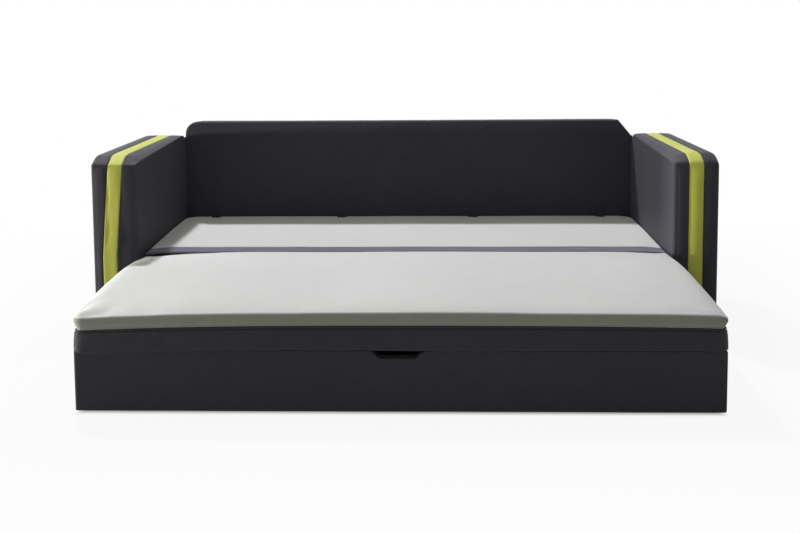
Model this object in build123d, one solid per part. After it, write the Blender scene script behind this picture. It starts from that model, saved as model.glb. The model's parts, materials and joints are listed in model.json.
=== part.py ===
from build123d import *

import os
from math import pi

# Pull-out sofa bed, modelled with the bed open. Millimetres, +Z up, +X to the viewer's right,
# +Y towards the back. The origin is on the floor, under the middle of the whole object.

# Driving sizes of the fixed sofa
SEAT_WIDTH = 1900  # between the two arms
SEAT_DEPTH = 720  # from the arms' front to the face of the back
ARM_WIDTH = 160
ARM_HEIGHT = 660
ARM_NOSE_RADIUS = 65  # the arm's rounded top corners, seen from the side
ARM_EDGE_RADIUS = 12
ARM_PADDING = 24
BACK_HEIGHT = 714
BACK_THICKNESS = 150
BACK_UNDERSIDE = 274
BACK_EDGE_RADIUS = 12
BACK_PADDING = 25
BACK_CORNER_RADIUS = 53  # top corner on the viewer's left
BACK_CHAMFER_WIDTH = 54  # top corner on the viewer's right
BACK_CHAMFER_HEIGHT = 65
GLIDE_HEIGHT = 12
GLIDE_RADIUS = 18
GLIDE_INSET = 80
STRIPE_WIDTH = 50
STRIPE_DEPTH = 3

# Driving sizes of the bed
BED_PROJECTION = 680  # how far the open bed stands in front of the arms
BOX_TOP_HEIGHT = 190
DECK_TOP = 264
BED_TOP = 306
BOX_SIDE_GAP = 8  # between each arm and the box
DECK_PAD_SIDE_GAP = 4
MATTRESS_SIDE_GAP = 3
MATTRESS_REACH_IN = 68  # how far the open front mattress reaches in between the arms
CLOSED_GAP = 7  # between the closed front mattress and the standing cushion
STRIP_GAP = 5  # between the front mattress and the strip
STRIP_DEPTH = 72
STRIP_THICKNESS = 8
CUSHION_REAR_GAP = 4  # between the rear cushion and the back

# Clearances
SOFT_GAP = 0.3  # between curved or soft faces that lie against each other
RUNNING_GAP = 0.05  # radial, between a pin and the part that turns on it
FIXED_PIN_GAP = 0.02  # radial, between a pin and the part that holds it
SCREW_GAP = 0.2  # radial, round a screw
OVERRUN = 5  # how far a cutting shape runs past the face that it cuts

# Places along Y, worked out from the driving sizes
Y_BED_FRONT = -(BED_PROJECTION + SEAT_DEPTH + BACK_THICKNESS) / 2
Y_ARM_FRONT = Y_BED_FRONT + BED_PROJECTION
Y_BACK_FACE = Y_ARM_FRONT + SEAT_DEPTH
Y_BACK_REAR = Y_BACK_FACE + BACK_THICKNESS
Y_MATTRESS_REAR = Y_ARM_FRONT + MATTRESS_REACH_IN
Y_STRIP_FRONT = Y_MATTRESS_REAR + STRIP_GAP
Y_CUSHION_FRONT = Y_STRIP_FRONT + STRIP_DEPTH
Y_CUSHION_REAR = Y_BACK_FACE - CUSHION_REAR_GAP
X_ARM_INNER = SEAT_WIDTH / 2
X_ARM_MIDDLE = X_ARM_INNER + ARM_WIDTH / 2
X_ARM_OUTER = X_ARM_INNER + ARM_WIDTH
BOX_WIDTH = SEAT_WIDTH - 2 * BOX_SIDE_GAP
DECK_PAD_WIDTH = SEAT_WIDTH - 2 * DECK_PAD_SIDE_GAP
MATTRESS_WIDTH = SEAT_WIDTH - 2 * MATTRESS_SIDE_GAP

# Frames inside the arms and the back
PANEL_THICKNESS = 5
RAIL_SIZE = 40
UPRIGHT_SIZE = 30
ARM_BAYS = 3
BACK_BAYS = 8

# Feet of the back, the board between them, and the plates that hold the arms
FOOT_CLEARANCE = 4  # between the closed drawer's rear end and the feet
FOOT_WIDTH = 70
FOOT_SIDE_GAP = 4  # the angle plate lies in it
APRON_THICKNESS = 18
PLATE_THICKNESS = 4
PLATE_LEG = 56
LOW_PLATE_BOTTOM = 130
LOW_PLATE_HEIGHT = 100
HIGH_PLATE_BOTTOM = 330
HIGH_PLATE_HEIGHT = 200
HIGH_BOLT_SHARES = (0.2, 0.8)  # of the plate's height
BOLT_RADIUS = 4
BOLT_LENGTH = 50
BOLT_HEAD_RADIUS = 7
BOLT_HEAD_HEIGHT = 5

# Drawer under the bed
BOX_BOTTOM = 8
FRONT_RECESS = 6  # how far the box front lies behind the mattress edge
FRONT_BOARD_THICKNESS = 20
FRONT_PADDING = 12
FRONT_EDGE_RADIUS = 8
PULL_TOP_WIDTH = 160
PULL_BOTTOM_WIDTH = 107
PULL_HEIGHT = 24
SIDE_BOARD_THICKNESS = 18
SIDE_BOARD_BOTTOM = 20
SIDE_PADDING = 12
SLAT_THICKNESS = 18
SLAT_WIDTH = 60
SLAT_COUNT = 9
FINGER_ROOM = 45  # behind the front board
BEARER_SIDE_ROOM = 312  # between a bearer's middle and the side board
BEARER_WIDTH = 45
BEARER_BOTTOM = 100
RAIL_SETBACK = 5  # behind the rear cushion's front edge
REAR_BOARD_BOTTOM = 60
RAIL_DEPTH = 40
SCREW_RADIUS = 2
SCREW_HEAD_RADIUS = 4
SCREW_HEAD_HEIGHT = 2
SCREW_LENGTH = 32
CORNER_LEG = 40
CORNER_THICKNESS = 3
CORNER_BOTTOM = 50
CORNER_HEIGHT = 80

# Sideways guides and stops
GUIDE_STRIP_THICKNESS = 3
GUIDE_STRIP_MARGIN = 10
GUIDE_BOTTOM = 55
GUIDE_HEIGHT = 70
GUIDE_RUNNING_GAP = 0.5
GUIDE_BLOCK_REAR_ROOM = 70  # to the drawer's rear end
GUIDE_BLOCK_LENGTH = 80
GUIDE_BLOCK_MARGIN = 5
STOP_LENGTH = 24
STOP_SIDE_GAP = 1.3

# Casters
WHEEL_RADIUS = 35
WHEEL_WIDTH = 24
TYRE_THICKNESS = 6
HUB_BOSS_RADIUS = 10
HUB_DISH = 5
AXLE_RADIUS = 4
AXLE_HEAD_RADIUS = 7
AXLE_HEAD = 3
CHEEK_GAP = 2
CHEEK_THICKNESS = 3
CHEEK_HALF_DEPTH = 15
CASTER_PLATE = 60
CASTER_PLATE_THICKNESS = 4
CASTER_FRONT_SETBACK = 115  # from the bed's front edge
CASTER_REAR_MARGIN = 80  # from the drawer's rear end
CASTER_SCREW_INSET = 9

# Rear cushion and its hinges
CUSHION_PAD_THICKNESS = 12
CUSHION_BOARD_THICKNESS = 10
CUSHION_BOARD_MARGIN = 14
PIVOT_TO_BACK = 15
PIVOT_BELOW_TOP = 10
HINGE_SIDE_ROOM = 130  # between the outer hinges and the arms
HINGE_SPACING = 540  # between the two hinges of one side
HINGE_PIN_RADIUS = 3
HINGE_EYE_RADIUS = 8
HINGE_EYE_WIDTH = 14
HINGE_EAR_GAP = 0.5
HINGE_EAR_THICKNESS = 3
HINGE_PIN_HEAD = 2
HINGE_NOTCH_WIDTH = 36
HINGE_NOTCH_DEPTH = 24
HINGE_FOOT_THICKNESS = 3
HINGE_FOOT_LENGTH = 36
HINGE_BASE_THICKNESS = 3
HINGE_BASE_HEIGHT = 36
HINGE_POCKET_GAP = 1
HINGE_SCREW_RISE = 13
HINGE_SCREW_LENGTH = 28
CUSHION_SCREW_SHARES = (0.25, 0.75)  # of the hinge arm's foot

# Soft shapes
MATTRESS_CROWN = 6
CUSHION_CROWN = 3
MATTRESS_BULGE = 6
DECK_BULGE = 8
CUSHION_BULGE = 4
STRIP_BULGE = 2
FRONT_CORNER_RADIUS = 30
REAR_CORNER_RADIUS = 60
DECK_CORNER_RADIUS = 24
STRIP_CORNER_RADIUS = 8
SIDE_DRAW = 2
SIDE_TRIM = 0.5  # cut off the swelling sides, so that they end in a narrow flat band

# Heights and places that follow from the sizes above
ARM_CORE_WIDTH = ARM_WIDTH - 2 * ARM_PADDING
SLAT_BOTTOM = BOX_TOP_HEIGHT - SLAT_THICKNESS
Y_BOX_FRONT = Y_BED_FRONT + FRONT_RECESS
Y_BOARD_FRONT = Y_BOX_FRONT + FRONT_PADDING
Y_BOARD_REAR = Y_BOARD_FRONT + FRONT_BOARD_THICKNESS
Y_RAIL_FRONT = Y_CUSHION_FRONT + RAIL_SETBACK
Y_DRAWER_REAR = Y_RAIL_FRONT + RAIL_DEPTH
Y_GUIDE_BLOCK = Y_DRAWER_REAR - GUIDE_BLOCK_REAR_ROOM - GUIDE_BLOCK_LENGTH
X_SIDE_OUTER = BOX_WIDTH / 2 - SIDE_PADDING
X_SIDE_INNER = X_SIDE_OUTER - SIDE_BOARD_THICKNESS
BEARER_X = X_SIDE_INNER - BEARER_SIDE_ROOM
CUSHION_BOARD_BOTTOM = DECK_TOP + CUSHION_PAD_THICKNESS
CUSHION_BOARD_TOP = CUSHION_BOARD_BOTTOM + CUSHION_BOARD_THICKNESS
PIVOT_Y = Y_BACK_FACE - PIVOT_TO_BACK
PIVOT_Z = BED_TOP - PIVOT_BELOW_TOP
HINGE_OUTER_X = X_ARM_INNER - HINGE_SIDE_ROOM
HINGE_INNER_X = HINGE_OUTER_X - HINGE_SPACING
HINGE_XS = [-HINGE_OUTER_X, -HINGE_INNER_X, HINGE_INNER_X, HINGE_OUTER_X]
Y_STANDING_FACE = PIVOT_Y - (PIVOT_Z - DECK_TOP)  # of the cushion's dark side, once it stands
DRAWER_TRAVEL = Y_STANDING_FACE - CLOSED_GAP - Y_MATTRESS_REAR
Y_BACK_CORE_FRONT = Y_BACK_FACE + BACK_PADDING
Y_BACK_CORE_REAR = Y_BACK_REAR - BACK_PADDING
X_FOOT_OUTER = X_ARM_INNER - FOOT_SIDE_GAP
Y_FOOT_FRONT = Y_DRAWER_REAR + DRAWER_TRAVEL + FOOT_CLEARANCE
Y_FOOT_MIDDLE = (Y_FOOT_FRONT + Y_BACK_CORE_REAR) / 2
CASTER_YS = {
    "front": Y_BED_FRONT + CASTER_FRONT_SETBACK,
    "rear": Y_DRAWER_REAR - CASTER_REAR_MARGIN,
}
CASTER_XS = {"left": -BEARER_X, "right": BEARER_X}


def block(x, y, z):
    """A box that spans the three (low, high) pairs."""
    centre = [(low + high) / 2 for low, high in (x, y, z)]
    size = [high - low for low, high in (x, y, z)]
    return Pos(*centre) * Box(*size)


def both_sides(shape):
    """The shape and its mirror image on the other side of the sofa."""
    return [shape, mirror(shape, Plane.YZ)]


def rod_x(centre, radius, length):
    """A cylinder along X."""
    return Pos(*centre) * Rot(0, 90, 0) * Cylinder(radius, length)


def rod_y(x, y, z, radius):
    """A cylinder along Y between the (low, high) pair y."""
    return Pos(x, (y[0] + y[1]) / 2, z) * Rot(90, 0, 0) * Cylinder(radius, y[1] - y[0])


def rod_z(x, y, z, radius):
    """A cylinder along Z between the (low, high) pair z."""
    return Pos(x, y, (z[0] + z[1]) / 2) * Cylinder(radius, z[1] - z[0])


def cut_all(body, tools):
    """The body with every tool cut out of it."""
    for tool in tools:
        body = body - tool
    return body


def group(solids):
    """Separate solids that share one node."""
    return Compound(children=list(solids))


def bulged_section(length, height, crown, bulge):
    """A cushion's section, on its base: an arched top, and sides that swell between their seams.

    The seams lie `bulge` inside the full length, and the top's middle is `crown` above its ends."""
    seam = length / 2 - bulge
    edge = height - crown
    top = Line((seam, edge), (-seam, edge))
    if crown:
        top = ThreePointArc((seam, edge), (0, height), (-seam, edge))
    outline = Curve() + [
        Line((-seam, 0), (seam, 0)),
        ThreePointArc((seam, 0), (length / 2, edge / 2), (seam, edge)),
        top,
        ThreePointArc((-seam, edge), (-length / 2, edge / 2), (-seam, 0)),
    ]
    return make_face(outline)


def drawn_plan(width, depth, radii, draw):
    """A cushion's outline from above: sides drawn in a little between rounded corners.

    radii are the corners' radii at the front and at the rear."""
    front, rear = radii
    x, y = width / 2, depth / 2
    diagonal = 1 - 0.5**0.5
    outline = Curve() + [
        ThreePointArc((-x + front, -y), (0, -y + draw), (x - front, -y)),
        ThreePointArc(
            (x - front, -y), (x - front * diagonal, -y + front * diagonal), (x, -y + front)
        ),
        ThreePointArc((x, -y + front), (x - draw, 0), (x, y - rear)),
        ThreePointArc((x, y - rear), (x - rear * diagonal, y - rear * diagonal), (x - rear, y)),
        ThreePointArc((x - rear, y), (0, y - draw), (-x + rear, y)),
        ThreePointArc((-x + rear, y), (-x + rear * diagonal, y - rear * diagonal), (-x, y - rear)),
        ThreePointArc((-x, y - rear), (-x + draw, 0), (-x, -y + front)),
        ThreePointArc(
            (-x, -y + front), (-x + front * diagonal, -y + front * diagonal), (-x + front, -y)
        ),
    ]
    return make_face(outline)


def soft_pad(width, y, z, crown, bulge, radii):
    """A soft pad between the (low, high) pairs y and z, with its crown and drawn-in sides."""
    depth, height = y[1] - y[0], z[1] - z[0]
    front_view = bulged_section(width + 2 * SIDE_TRIM, height, crown, bulge)
    side_view = bulged_section(depth + 2 * SIDE_TRIM, height, crown, bulge)
    across = extrude(Plane.XZ * front_view, amount=depth, both=True)
    along = extrude(Plane.YZ * side_view, amount=width, both=True)
    plan = extrude(drawn_plan(width, depth, radii, SIDE_DRAW), amount=height)
    return Pos(0, (y[0] + y[1]) / 2, z[0]) * (across & along & plan)


def arch(y, z, radius):
    """A side view of an arm: flat at the bottom, rounded by radius at both top corners."""
    outline = Rectangle(y[1] - y[0], z[1] - z[0])
    outline = fillet(outline.vertices().group_by(Axis.Y)[-1], radius)
    return Pos((y[0] + y[1]) / 2, (z[0] + z[1]) / 2) * outline


def arm_arch(inset, low=GLIDE_HEIGHT):
    """The arm's side view, drawn in by inset at the front, top and rear."""
    return arch(
        (Y_ARM_FRONT + inset, Y_BACK_FACE - inset),
        (low, ARM_HEIGHT - inset),
        ARM_NOSE_RADIUS - inset,
    )


def arm_slab(outline, width):
    """An arm's side view, made width thick about the middle of the right arm."""
    return Pos(X_ARM_MIDDLE, 0, 0) * extrude(Plane.YZ * outline, amount=width / 2, both=True)


def plate_bolts_in_arm():
    """Where bolts hold the angle plates to the right arm: (x, z)."""
    x = X_ARM_INNER + PLATE_LEG - BOLT_HEAD_RADIUS - PLATE_THICKNESS
    low = [LOW_PLATE_BOTTOM + LOW_PLATE_HEIGHT / 2]
    high = [HIGH_PLATE_BOTTOM + HIGH_PLATE_HEIGHT * share for share in HIGH_BOLT_SHARES]
    return [(x, z) for z in low + high]


def arm_bolt_tools(radius):
    """Shafts of the given radius along the arm bolts, from the rear of the right arm."""
    ends = (Y_BACK_FACE + PLATE_THICKNESS - BOLT_LENGTH, Y_BACK_FACE + PLATE_THICKNESS)
    return [rod_y(x, ends, z, radius) for x, z in plate_bolts_in_arm()]


def make_arm_cover():
    """Right arm's padded cover: open below, with a shallow groove for the coloured stripe."""
    body = arm_slab(arm_arch(0), ARM_WIDTH)
    rims = body.faces().group_by(Axis.X)[0].edges() + body.faces().group_by(Axis.X)[-1].edges()
    body = fillet(rims, ARM_EDGE_RADIUS)
    body -= arm_slab(arm_arch(ARM_PADDING, GLIDE_HEIGHT - OVERRUN), ARM_CORE_WIDTH)
    ring = arm_arch(-OVERRUN, GLIDE_HEIGHT - OVERRUN) - arm_arch(STRIPE_DEPTH, 0)
    body -= arm_slab(ring, STRIPE_WIDTH + 2 * SOFT_GAP)
    return cut_all(body, arm_bolt_tools(BOLT_RADIUS + SCREW_GAP))


def make_arm_stripe():
    """Right arm's coloured stripe, up the front, over the top and down the rear."""
    ring = arm_arch(0) - arm_arch(STRIPE_DEPTH - SOFT_GAP, 0)
    return arm_slab(ring, STRIPE_WIDTH)


def make_arm_frame():
    """Right arm's timber frame: rails round the edge and uprights between them."""
    thickness = ARM_CORE_WIDTH - 2 * PANEL_THICKNESS
    body = arm_slab(arm_arch(ARM_PADDING), thickness)
    front, rear = Y_ARM_FRONT + ARM_PADDING, Y_BACK_FACE - ARM_PADDING
    bay = (rear - front - 2 * RAIL_SIZE - (ARM_BAYS - 1) * UPRIGHT_SIZE) / ARM_BAYS
    low, high = GLIDE_HEIGHT + RAIL_SIZE, ARM_HEIGHT - ARM_PADDING - RAIL_SIZE
    x = (X_ARM_INNER - OVERRUN, X_ARM_OUTER + OVERRUN)
    for index in range(ARM_BAYS):
        start = front + RAIL_SIZE + index * (bay + UPRIGHT_SIZE)
        body -= block(x, (start, start + bay), (low, high))
    return cut_all(body, arm_bolt_tools(BOLT_RADIUS + SCREW_GAP))


def make_arm_panels():
    """The two thin panels on the faces of the right arm's frame."""
    sheet = arm_slab(arm_arch(ARM_PADDING), PANEL_THICKNESS)
    shift = (ARM_CORE_WIDTH - PANEL_THICKNESS) / 2
    return group([Pos(-shift, 0, 0) * sheet, Pos(shift, 0, 0) * sheet])


def make_arm_glides():
    """Plastic glides under both arms."""
    ys = (Y_ARM_FRONT + GLIDE_INSET, Y_BACK_FACE - GLIDE_INSET)
    discs = [rod_z(X_ARM_MIDDLE, y, (0, GLIDE_HEIGHT), GLIDE_RADIUS) for y in ys]
    return group(solid for disc in discs for solid in both_sides(disc))


def back_outline(inset, low):
    """The back's front view, drawn in by inset at the sides and the top."""
    x, top = SEAT_WIDTH / 2 - inset, BACK_HEIGHT - inset
    slope = inset * 2**0.5 / 2
    corner_x, corner_z = BACK_CHAMFER_WIDTH - slope, BACK_CHAMFER_HEIGHT - slope
    outline = Polygon(
        (-x, low), (x, low), (x, top - corner_z), (x - corner_x, top), (-x, top), align=None
    )
    left_top = outline.vertices().sort_by(Axis.Y)[-2:].sort_by(Axis.X)[0]
    return fillet(left_top, BACK_CORNER_RADIUS - inset)


def back_slab(outline, y):
    """The back's front view, made thick between the (low, high) pair y."""
    return Pos(0, y[1], 0) * extrude(Plane.XZ * outline, amount=y[1] - y[0])


def hinge_pockets():
    """Pockets through the back's padding, where the hinge brackets stand on its frame."""
    half = HINGE_EYE_WIDTH / 2 + HINGE_EAR_GAP + HINGE_EAR_THICKNESS + HINGE_POCKET_GAP
    rise = HINGE_BASE_HEIGHT / 2 + HINGE_POCKET_GAP
    y = (Y_BACK_FACE - OVERRUN, Y_BACK_CORE_FRONT)
    return [block((x - half, x + half), y, (PIVOT_Z - rise, PIVOT_Z + rise)) for x in HINGE_XS]


def back_bolt_tools(radius):
    """Shafts of the given radius along the bolts that hold the high plates to the back."""
    y = Y_BACK_FACE + PLATE_LEG / 2
    tools = []
    for share in HIGH_BOLT_SHARES:
        z = HIGH_PLATE_BOTTOM + HIGH_PLATE_HEIGHT * share
        middle = X_ARM_INNER + PLATE_THICKNESS - BOLT_LENGTH / 2
        tools += both_sides(rod_x((middle, y, z), radius, BOLT_LENGTH))
    return tools


def make_back_cover():
    """The back's padded cover, open below, with a pocket for each hinge bracket."""
    body = back_slab(back_outline(0, BACK_UNDERSIDE), (Y_BACK_FACE, Y_BACK_REAR))
    faces = body.faces().sort_by(Axis.Y)
    body = fillet(faces[0].edges() + faces[-1].edges(), BACK_EDGE_RADIUS)
    core = (Y_BACK_CORE_FRONT, Y_BACK_CORE_REAR)
    body -= back_slab(back_outline(BACK_PADDING, BACK_UNDERSIDE - OVERRUN), core)
    return cut_all(body, hinge_pockets() + back_bolt_tools(BOLT_RADIUS + SCREW_GAP))


def hinge_screw_tools(radius):
    """Shafts of the given radius along the screws that hold the hinge brackets."""
    seat = Y_BACK_CORE_FRONT - HINGE_BASE_THICKNESS
    ends = (seat, seat + HINGE_SCREW_LENGTH)
    rises = (-HINGE_SCREW_RISE, HINGE_SCREW_RISE)
    return [rod_y(x, ends, PIVOT_Z + rise, radius) for x in HINGE_XS for rise in rises]


def make_back_frame():
    """The back's timber frame: rails round the edge and uprights between them."""
    y = (Y_BACK_CORE_FRONT + PANEL_THICKNESS, Y_BACK_CORE_REAR - PANEL_THICKNESS)
    body = back_slab(back_outline(BACK_PADDING, BACK_UNDERSIDE), y)
    side = SEAT_WIDTH / 2 - BACK_PADDING - RAIL_SIZE
    bay = (2 * side - (BACK_BAYS - 1) * UPRIGHT_SIZE) / BACK_BAYS
    high = BACK_HEIGHT - BACK_PADDING - RAIL_SIZE
    last_high = high - BACK_CHAMFER_HEIGHT
    cut = (y[0] - OVERRUN, y[1] + OVERRUN)
    for index in range(BACK_BAYS):
        start = -side + index * (bay + UPRIGHT_SIZE)
        top = last_high if index == BACK_BAYS - 1 else high
        body -= block((start, start + bay), cut, (BACK_UNDERSIDE + 2 * RAIL_SIZE, top))
    holes = hinge_screw_tools(SCREW_RADIUS + SCREW_GAP) + back_bolt_tools(BOLT_RADIUS + SCREW_GAP)
    return cut_all(body, holes)


def make_back_panels():
    """The two thin panels on the front and rear of the back's frame."""
    outline = back_outline(BACK_PADDING, BACK_UNDERSIDE)
    front = back_slab(outline, (Y_BACK_CORE_FRONT, Y_BACK_CORE_FRONT + PANEL_THICKNESS))
    rear = back_slab(outline, (Y_BACK_CORE_REAR - PANEL_THICKNESS, Y_BACK_CORE_REAR))
    tools = hinge_screw_tools(SCREW_RADIUS + SCREW_GAP) + back_bolt_tools(BOLT_RADIUS + SCREW_GAP)
    return group([cut_all(front, tools), cut_all(rear, tools)])


def low_plate_height():
    """The (low, high) span of the lower angle plates."""
    return (LOW_PLATE_BOTTOM, LOW_PLATE_BOTTOM + LOW_PLATE_HEIGHT)


def foot_bolt_tools(radius):
    """Shafts of the given radius along the bolts that hold the low plates to the feet."""
    z = LOW_PLATE_BOTTOM + LOW_PLATE_HEIGHT / 2
    middle = X_ARM_INNER - BOLT_LENGTH / 2
    return both_sides(rod_x((middle, Y_FOOT_MIDDLE, z), radius, BOLT_LENGTH))


def foot_span():
    """The (low, high) span of the feet along Y."""
    return (Y_FOOT_FRONT, Y_BACK_CORE_REAR)


def make_back_feet():
    """The two timber feet that carry the back's frame, behind the drawer."""
    x = (X_FOOT_OUTER - FOOT_WIDTH, X_FOOT_OUTER)
    foot = block(x, foot_span(), (GLIDE_HEIGHT, BACK_UNDERSIDE))
    return group(cut_all(f, foot_bolt_tools(BOLT_RADIUS + SCREW_GAP)) for f in both_sides(foot))


def make_back_glides():
    """Plastic glides under the back's feet and under the middle of the rear board."""
    foot_x = X_FOOT_OUTER - FOOT_WIDTH / 2
    foot = rod_z(foot_x, Y_FOOT_MIDDLE, (0, GLIDE_HEIGHT), GLIDE_RADIUS)
    middle_y = Y_BACK_CORE_REAR - APRON_THICKNESS / 2
    middle = rod_z(0, middle_y, (0, GLIDE_HEIGHT), APRON_THICKNESS / 2)
    return group(both_sides(foot) + [middle])


def make_rear_apron():
    """The board between the feet that carries the back along its length."""
    half = X_FOOT_OUTER - FOOT_WIDTH
    y = (Y_BACK_CORE_REAR - APRON_THICKNESS, Y_BACK_CORE_REAR)
    return block((-half, half), y, (GLIDE_HEIGHT, BACK_UNDERSIDE))


def make_low_plates():
    """Steel angle plates that join each arm to a foot, below the back."""
    z = low_plate_height()
    on_foot = block((X_FOOT_OUTER, X_ARM_INNER), (Y_BACK_FACE, foot_span()[1]), z)
    on_arm = block(
        (X_FOOT_OUTER, X_ARM_INNER + PLATE_LEG), (Y_BACK_FACE, Y_BACK_FACE + PLATE_THICKNESS), z
    )
    tools = arm_bolt_tools(BOLT_RADIUS + FIXED_PIN_GAP)
    tools += foot_bolt_tools(BOLT_RADIUS + FIXED_PIN_GAP)
    return group(both_sides(cut_all(on_foot + on_arm, tools)))


def make_high_plates():
    """Steel angle plates that join each arm to the side of the back."""
    z = (HIGH_PLATE_BOTTOM, HIGH_PLATE_BOTTOM + HIGH_PLATE_HEIGHT)
    on_back = block(
        (X_ARM_INNER, X_ARM_INNER + PLATE_THICKNESS),
        (Y_BACK_FACE, Y_BACK_FACE + PLATE_LEG),
        z,
    )
    on_arm = block(
        (X_ARM_INNER, X_ARM_INNER + PLATE_LEG), (Y_BACK_FACE, Y_BACK_FACE + PLATE_THICKNESS), z
    )
    tools = arm_bolt_tools(BOLT_RADIUS + FIXED_PIN_GAP)
    tools += back_bolt_tools(BOLT_RADIUS + FIXED_PIN_GAP)
    return group(both_sides(cut_all(on_back + on_arm, tools)))


def make_plate_bolts():
    """The bolts of all the angle plates, with their heads."""
    rear = Y_BACK_FACE + PLATE_THICKNESS
    bolts = []
    for shaft, (x, z) in zip(arm_bolt_tools(BOLT_RADIUS), plate_bolts_in_arm()):
        head = rod_y(x, (rear, rear + BOLT_HEAD_HEIGHT), z, BOLT_HEAD_RADIUS)
        bolts += both_sides(shaft + head)
    for share in HIGH_BOLT_SHARES:
        z = HIGH_PLATE_BOTTOM + HIGH_PLATE_HEIGHT * share
        y = Y_BACK_FACE + PLATE_LEG / 2
        seat = X_ARM_INNER + PLATE_THICKNESS
        shaft = rod_x((seat - BOLT_LENGTH / 2, y, z), BOLT_RADIUS, BOLT_LENGTH)
        head = rod_x((seat + BOLT_HEAD_HEIGHT / 2, y, z), BOLT_HEAD_RADIUS, BOLT_HEAD_HEIGHT)
        bolts += both_sides(shaft + head)
    z = LOW_PLATE_BOTTOM + LOW_PLATE_HEIGHT / 2
    y = Y_FOOT_MIDDLE
    shaft = rod_x((X_ARM_INNER - BOLT_LENGTH / 2, y, z), BOLT_RADIUS, BOLT_LENGTH)
    head = rod_x((X_ARM_INNER + BOLT_HEAD_HEIGHT / 2, y, z), BOLT_HEAD_RADIUS, BOLT_HEAD_HEIGHT)
    return group(bolts + both_sides(shaft + head))


def make_guide_strips():
    """Plastic strips low on the inner faces of the arms, along which the drawer is guided."""
    strip = block(
        (X_ARM_INNER - GUIDE_STRIP_THICKNESS, X_ARM_INNER),
        (Y_ARM_FRONT + ARM_EDGE_RADIUS, Y_BACK_FACE - GUIDE_STRIP_MARGIN),
        (GUIDE_BOTTOM, GUIDE_BOTTOM + GUIDE_HEIGHT),
    )
    return group(both_sides(strip))


def make_drawer_stops():
    """Rubber stops on the guide strips that halt the drawer when the bed is open."""
    rear = Y_GUIDE_BLOCK - SOFT_GAP
    stop = block(
        (BOX_WIDTH / 2 + STOP_SIDE_GAP, X_ARM_INNER - GUIDE_STRIP_THICKNESS),
        (rear - STOP_LENGTH, rear),
        (GUIDE_BOTTOM + GUIDE_BLOCK_MARGIN, GUIDE_BOTTOM + GUIDE_HEIGHT - GUIDE_BLOCK_MARGIN),
    )
    return group(both_sides(stop))


def make_guide_blocks():
    """Plastic blocks on the drawer's sides that run along the guide strips."""
    guide = block(
        (X_SIDE_OUTER, X_ARM_INNER - GUIDE_STRIP_THICKNESS - GUIDE_RUNNING_GAP),
        (Y_GUIDE_BLOCK, Y_GUIDE_BLOCK + GUIDE_BLOCK_LENGTH),
        (GUIDE_BOTTOM + GUIDE_BLOCK_MARGIN, GUIDE_BOTTOM + GUIDE_HEIGHT - GUIDE_BLOCK_MARGIN),
    )
    return group(both_sides(guide))


def pull_notch(y):
    """The finger pull: a notch in the top edge of the front, wider at the top."""
    low, high = BOX_TOP_HEIGHT - PULL_HEIGHT, BOX_TOP_HEIGHT
    top, bottom = PULL_TOP_WIDTH / 2, PULL_BOTTOM_WIDTH / 2
    flare = (top - bottom) / PULL_HEIGHT * OVERRUN
    outline = Polygon(
        (-bottom, low),
        (bottom, low),
        (top + flare, high + OVERRUN),
        (-top - flare, high + OVERRUN),
        align=None,
    )
    return back_slab(outline, (y[0] - OVERRUN, y[1] + OVERRUN))


def front_board_block():
    """The space of the front board, before its notch."""
    half = BOX_WIDTH / 2 - FRONT_PADDING
    return block((-half, half), (Y_BOARD_FRONT, Y_BOARD_REAR), (BOX_BOTTOM, BOX_TOP_HEIGHT))


def make_front_board():
    """The drawer's front board."""
    return front_board_block() - pull_notch((Y_BOARD_FRONT, Y_BOARD_REAR))


def make_front_padding():
    """Padded cloth over the front board and round its two ends."""
    half = BOX_WIDTH / 2
    body = block((-half, half), (Y_BOX_FRONT, Y_BOARD_REAR), (BOX_BOTTOM, BOX_TOP_HEIGHT))
    body = fillet(body.faces().sort_by(Axis.Y)[0].edges(), FRONT_EDGE_RADIUS)
    board = block(
        (-half + FRONT_PADDING, half - FRONT_PADDING),
        (Y_BOARD_FRONT, Y_BOARD_REAR + OVERRUN),
        (BOX_BOTTOM - OVERRUN, BOX_TOP_HEIGHT + OVERRUN),
    )
    return body - board - pull_notch((Y_BOX_FRONT, Y_BOARD_REAR))


def slat_places():
    """The slats' middles along Y, evenly spread over the drawer."""
    first = Y_BOARD_REAR + FINGER_ROOM + SLAT_WIDTH / 2
    last = Y_DRAWER_REAR - SLAT_WIDTH / 2
    return [first + (last - first) * index / (SLAT_COUNT - 1) for index in range(SLAT_COUNT)]


def slat_screw_places():
    """The slat screws' (x, y): one over each side board and each bearer."""
    side = (X_SIDE_INNER + X_SIDE_OUTER) / 2
    return [(x, y) for y in slat_places() for x in (-side, -BEARER_X, BEARER_X, side)]


def slat_screws(gap):
    """Countersunk screws down through the slats, made fatter by gap to cut their holes."""
    screws = []
    for x, y in slat_screw_places():
        shank = rod_z(x, y, (BOX_TOP_HEIGHT - SCREW_LENGTH - gap, BOX_TOP_HEIGHT), SCREW_RADIUS + gap)
        head = rod_z(
            x, y, (BOX_TOP_HEIGHT - SCREW_HEAD_HEIGHT - gap, BOX_TOP_HEIGHT), SCREW_HEAD_RADIUS + gap
        )
        screws.append(shank + head)
    return screws


def make_slats():
    """The slats across the drawer."""
    span = (-X_SIDE_OUTER, X_SIDE_OUTER)
    tools = slat_screws(SCREW_GAP)
    slats = []
    for index, y in enumerate(slat_places()):
        slat = block(span, (y - SLAT_WIDTH / 2, y + SLAT_WIDTH / 2), (SLAT_BOTTOM, BOX_TOP_HEIGHT))
        slats.append(cut_all(slat, tools[4 * index : 4 * index + 4]))
    return group(slats)


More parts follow.
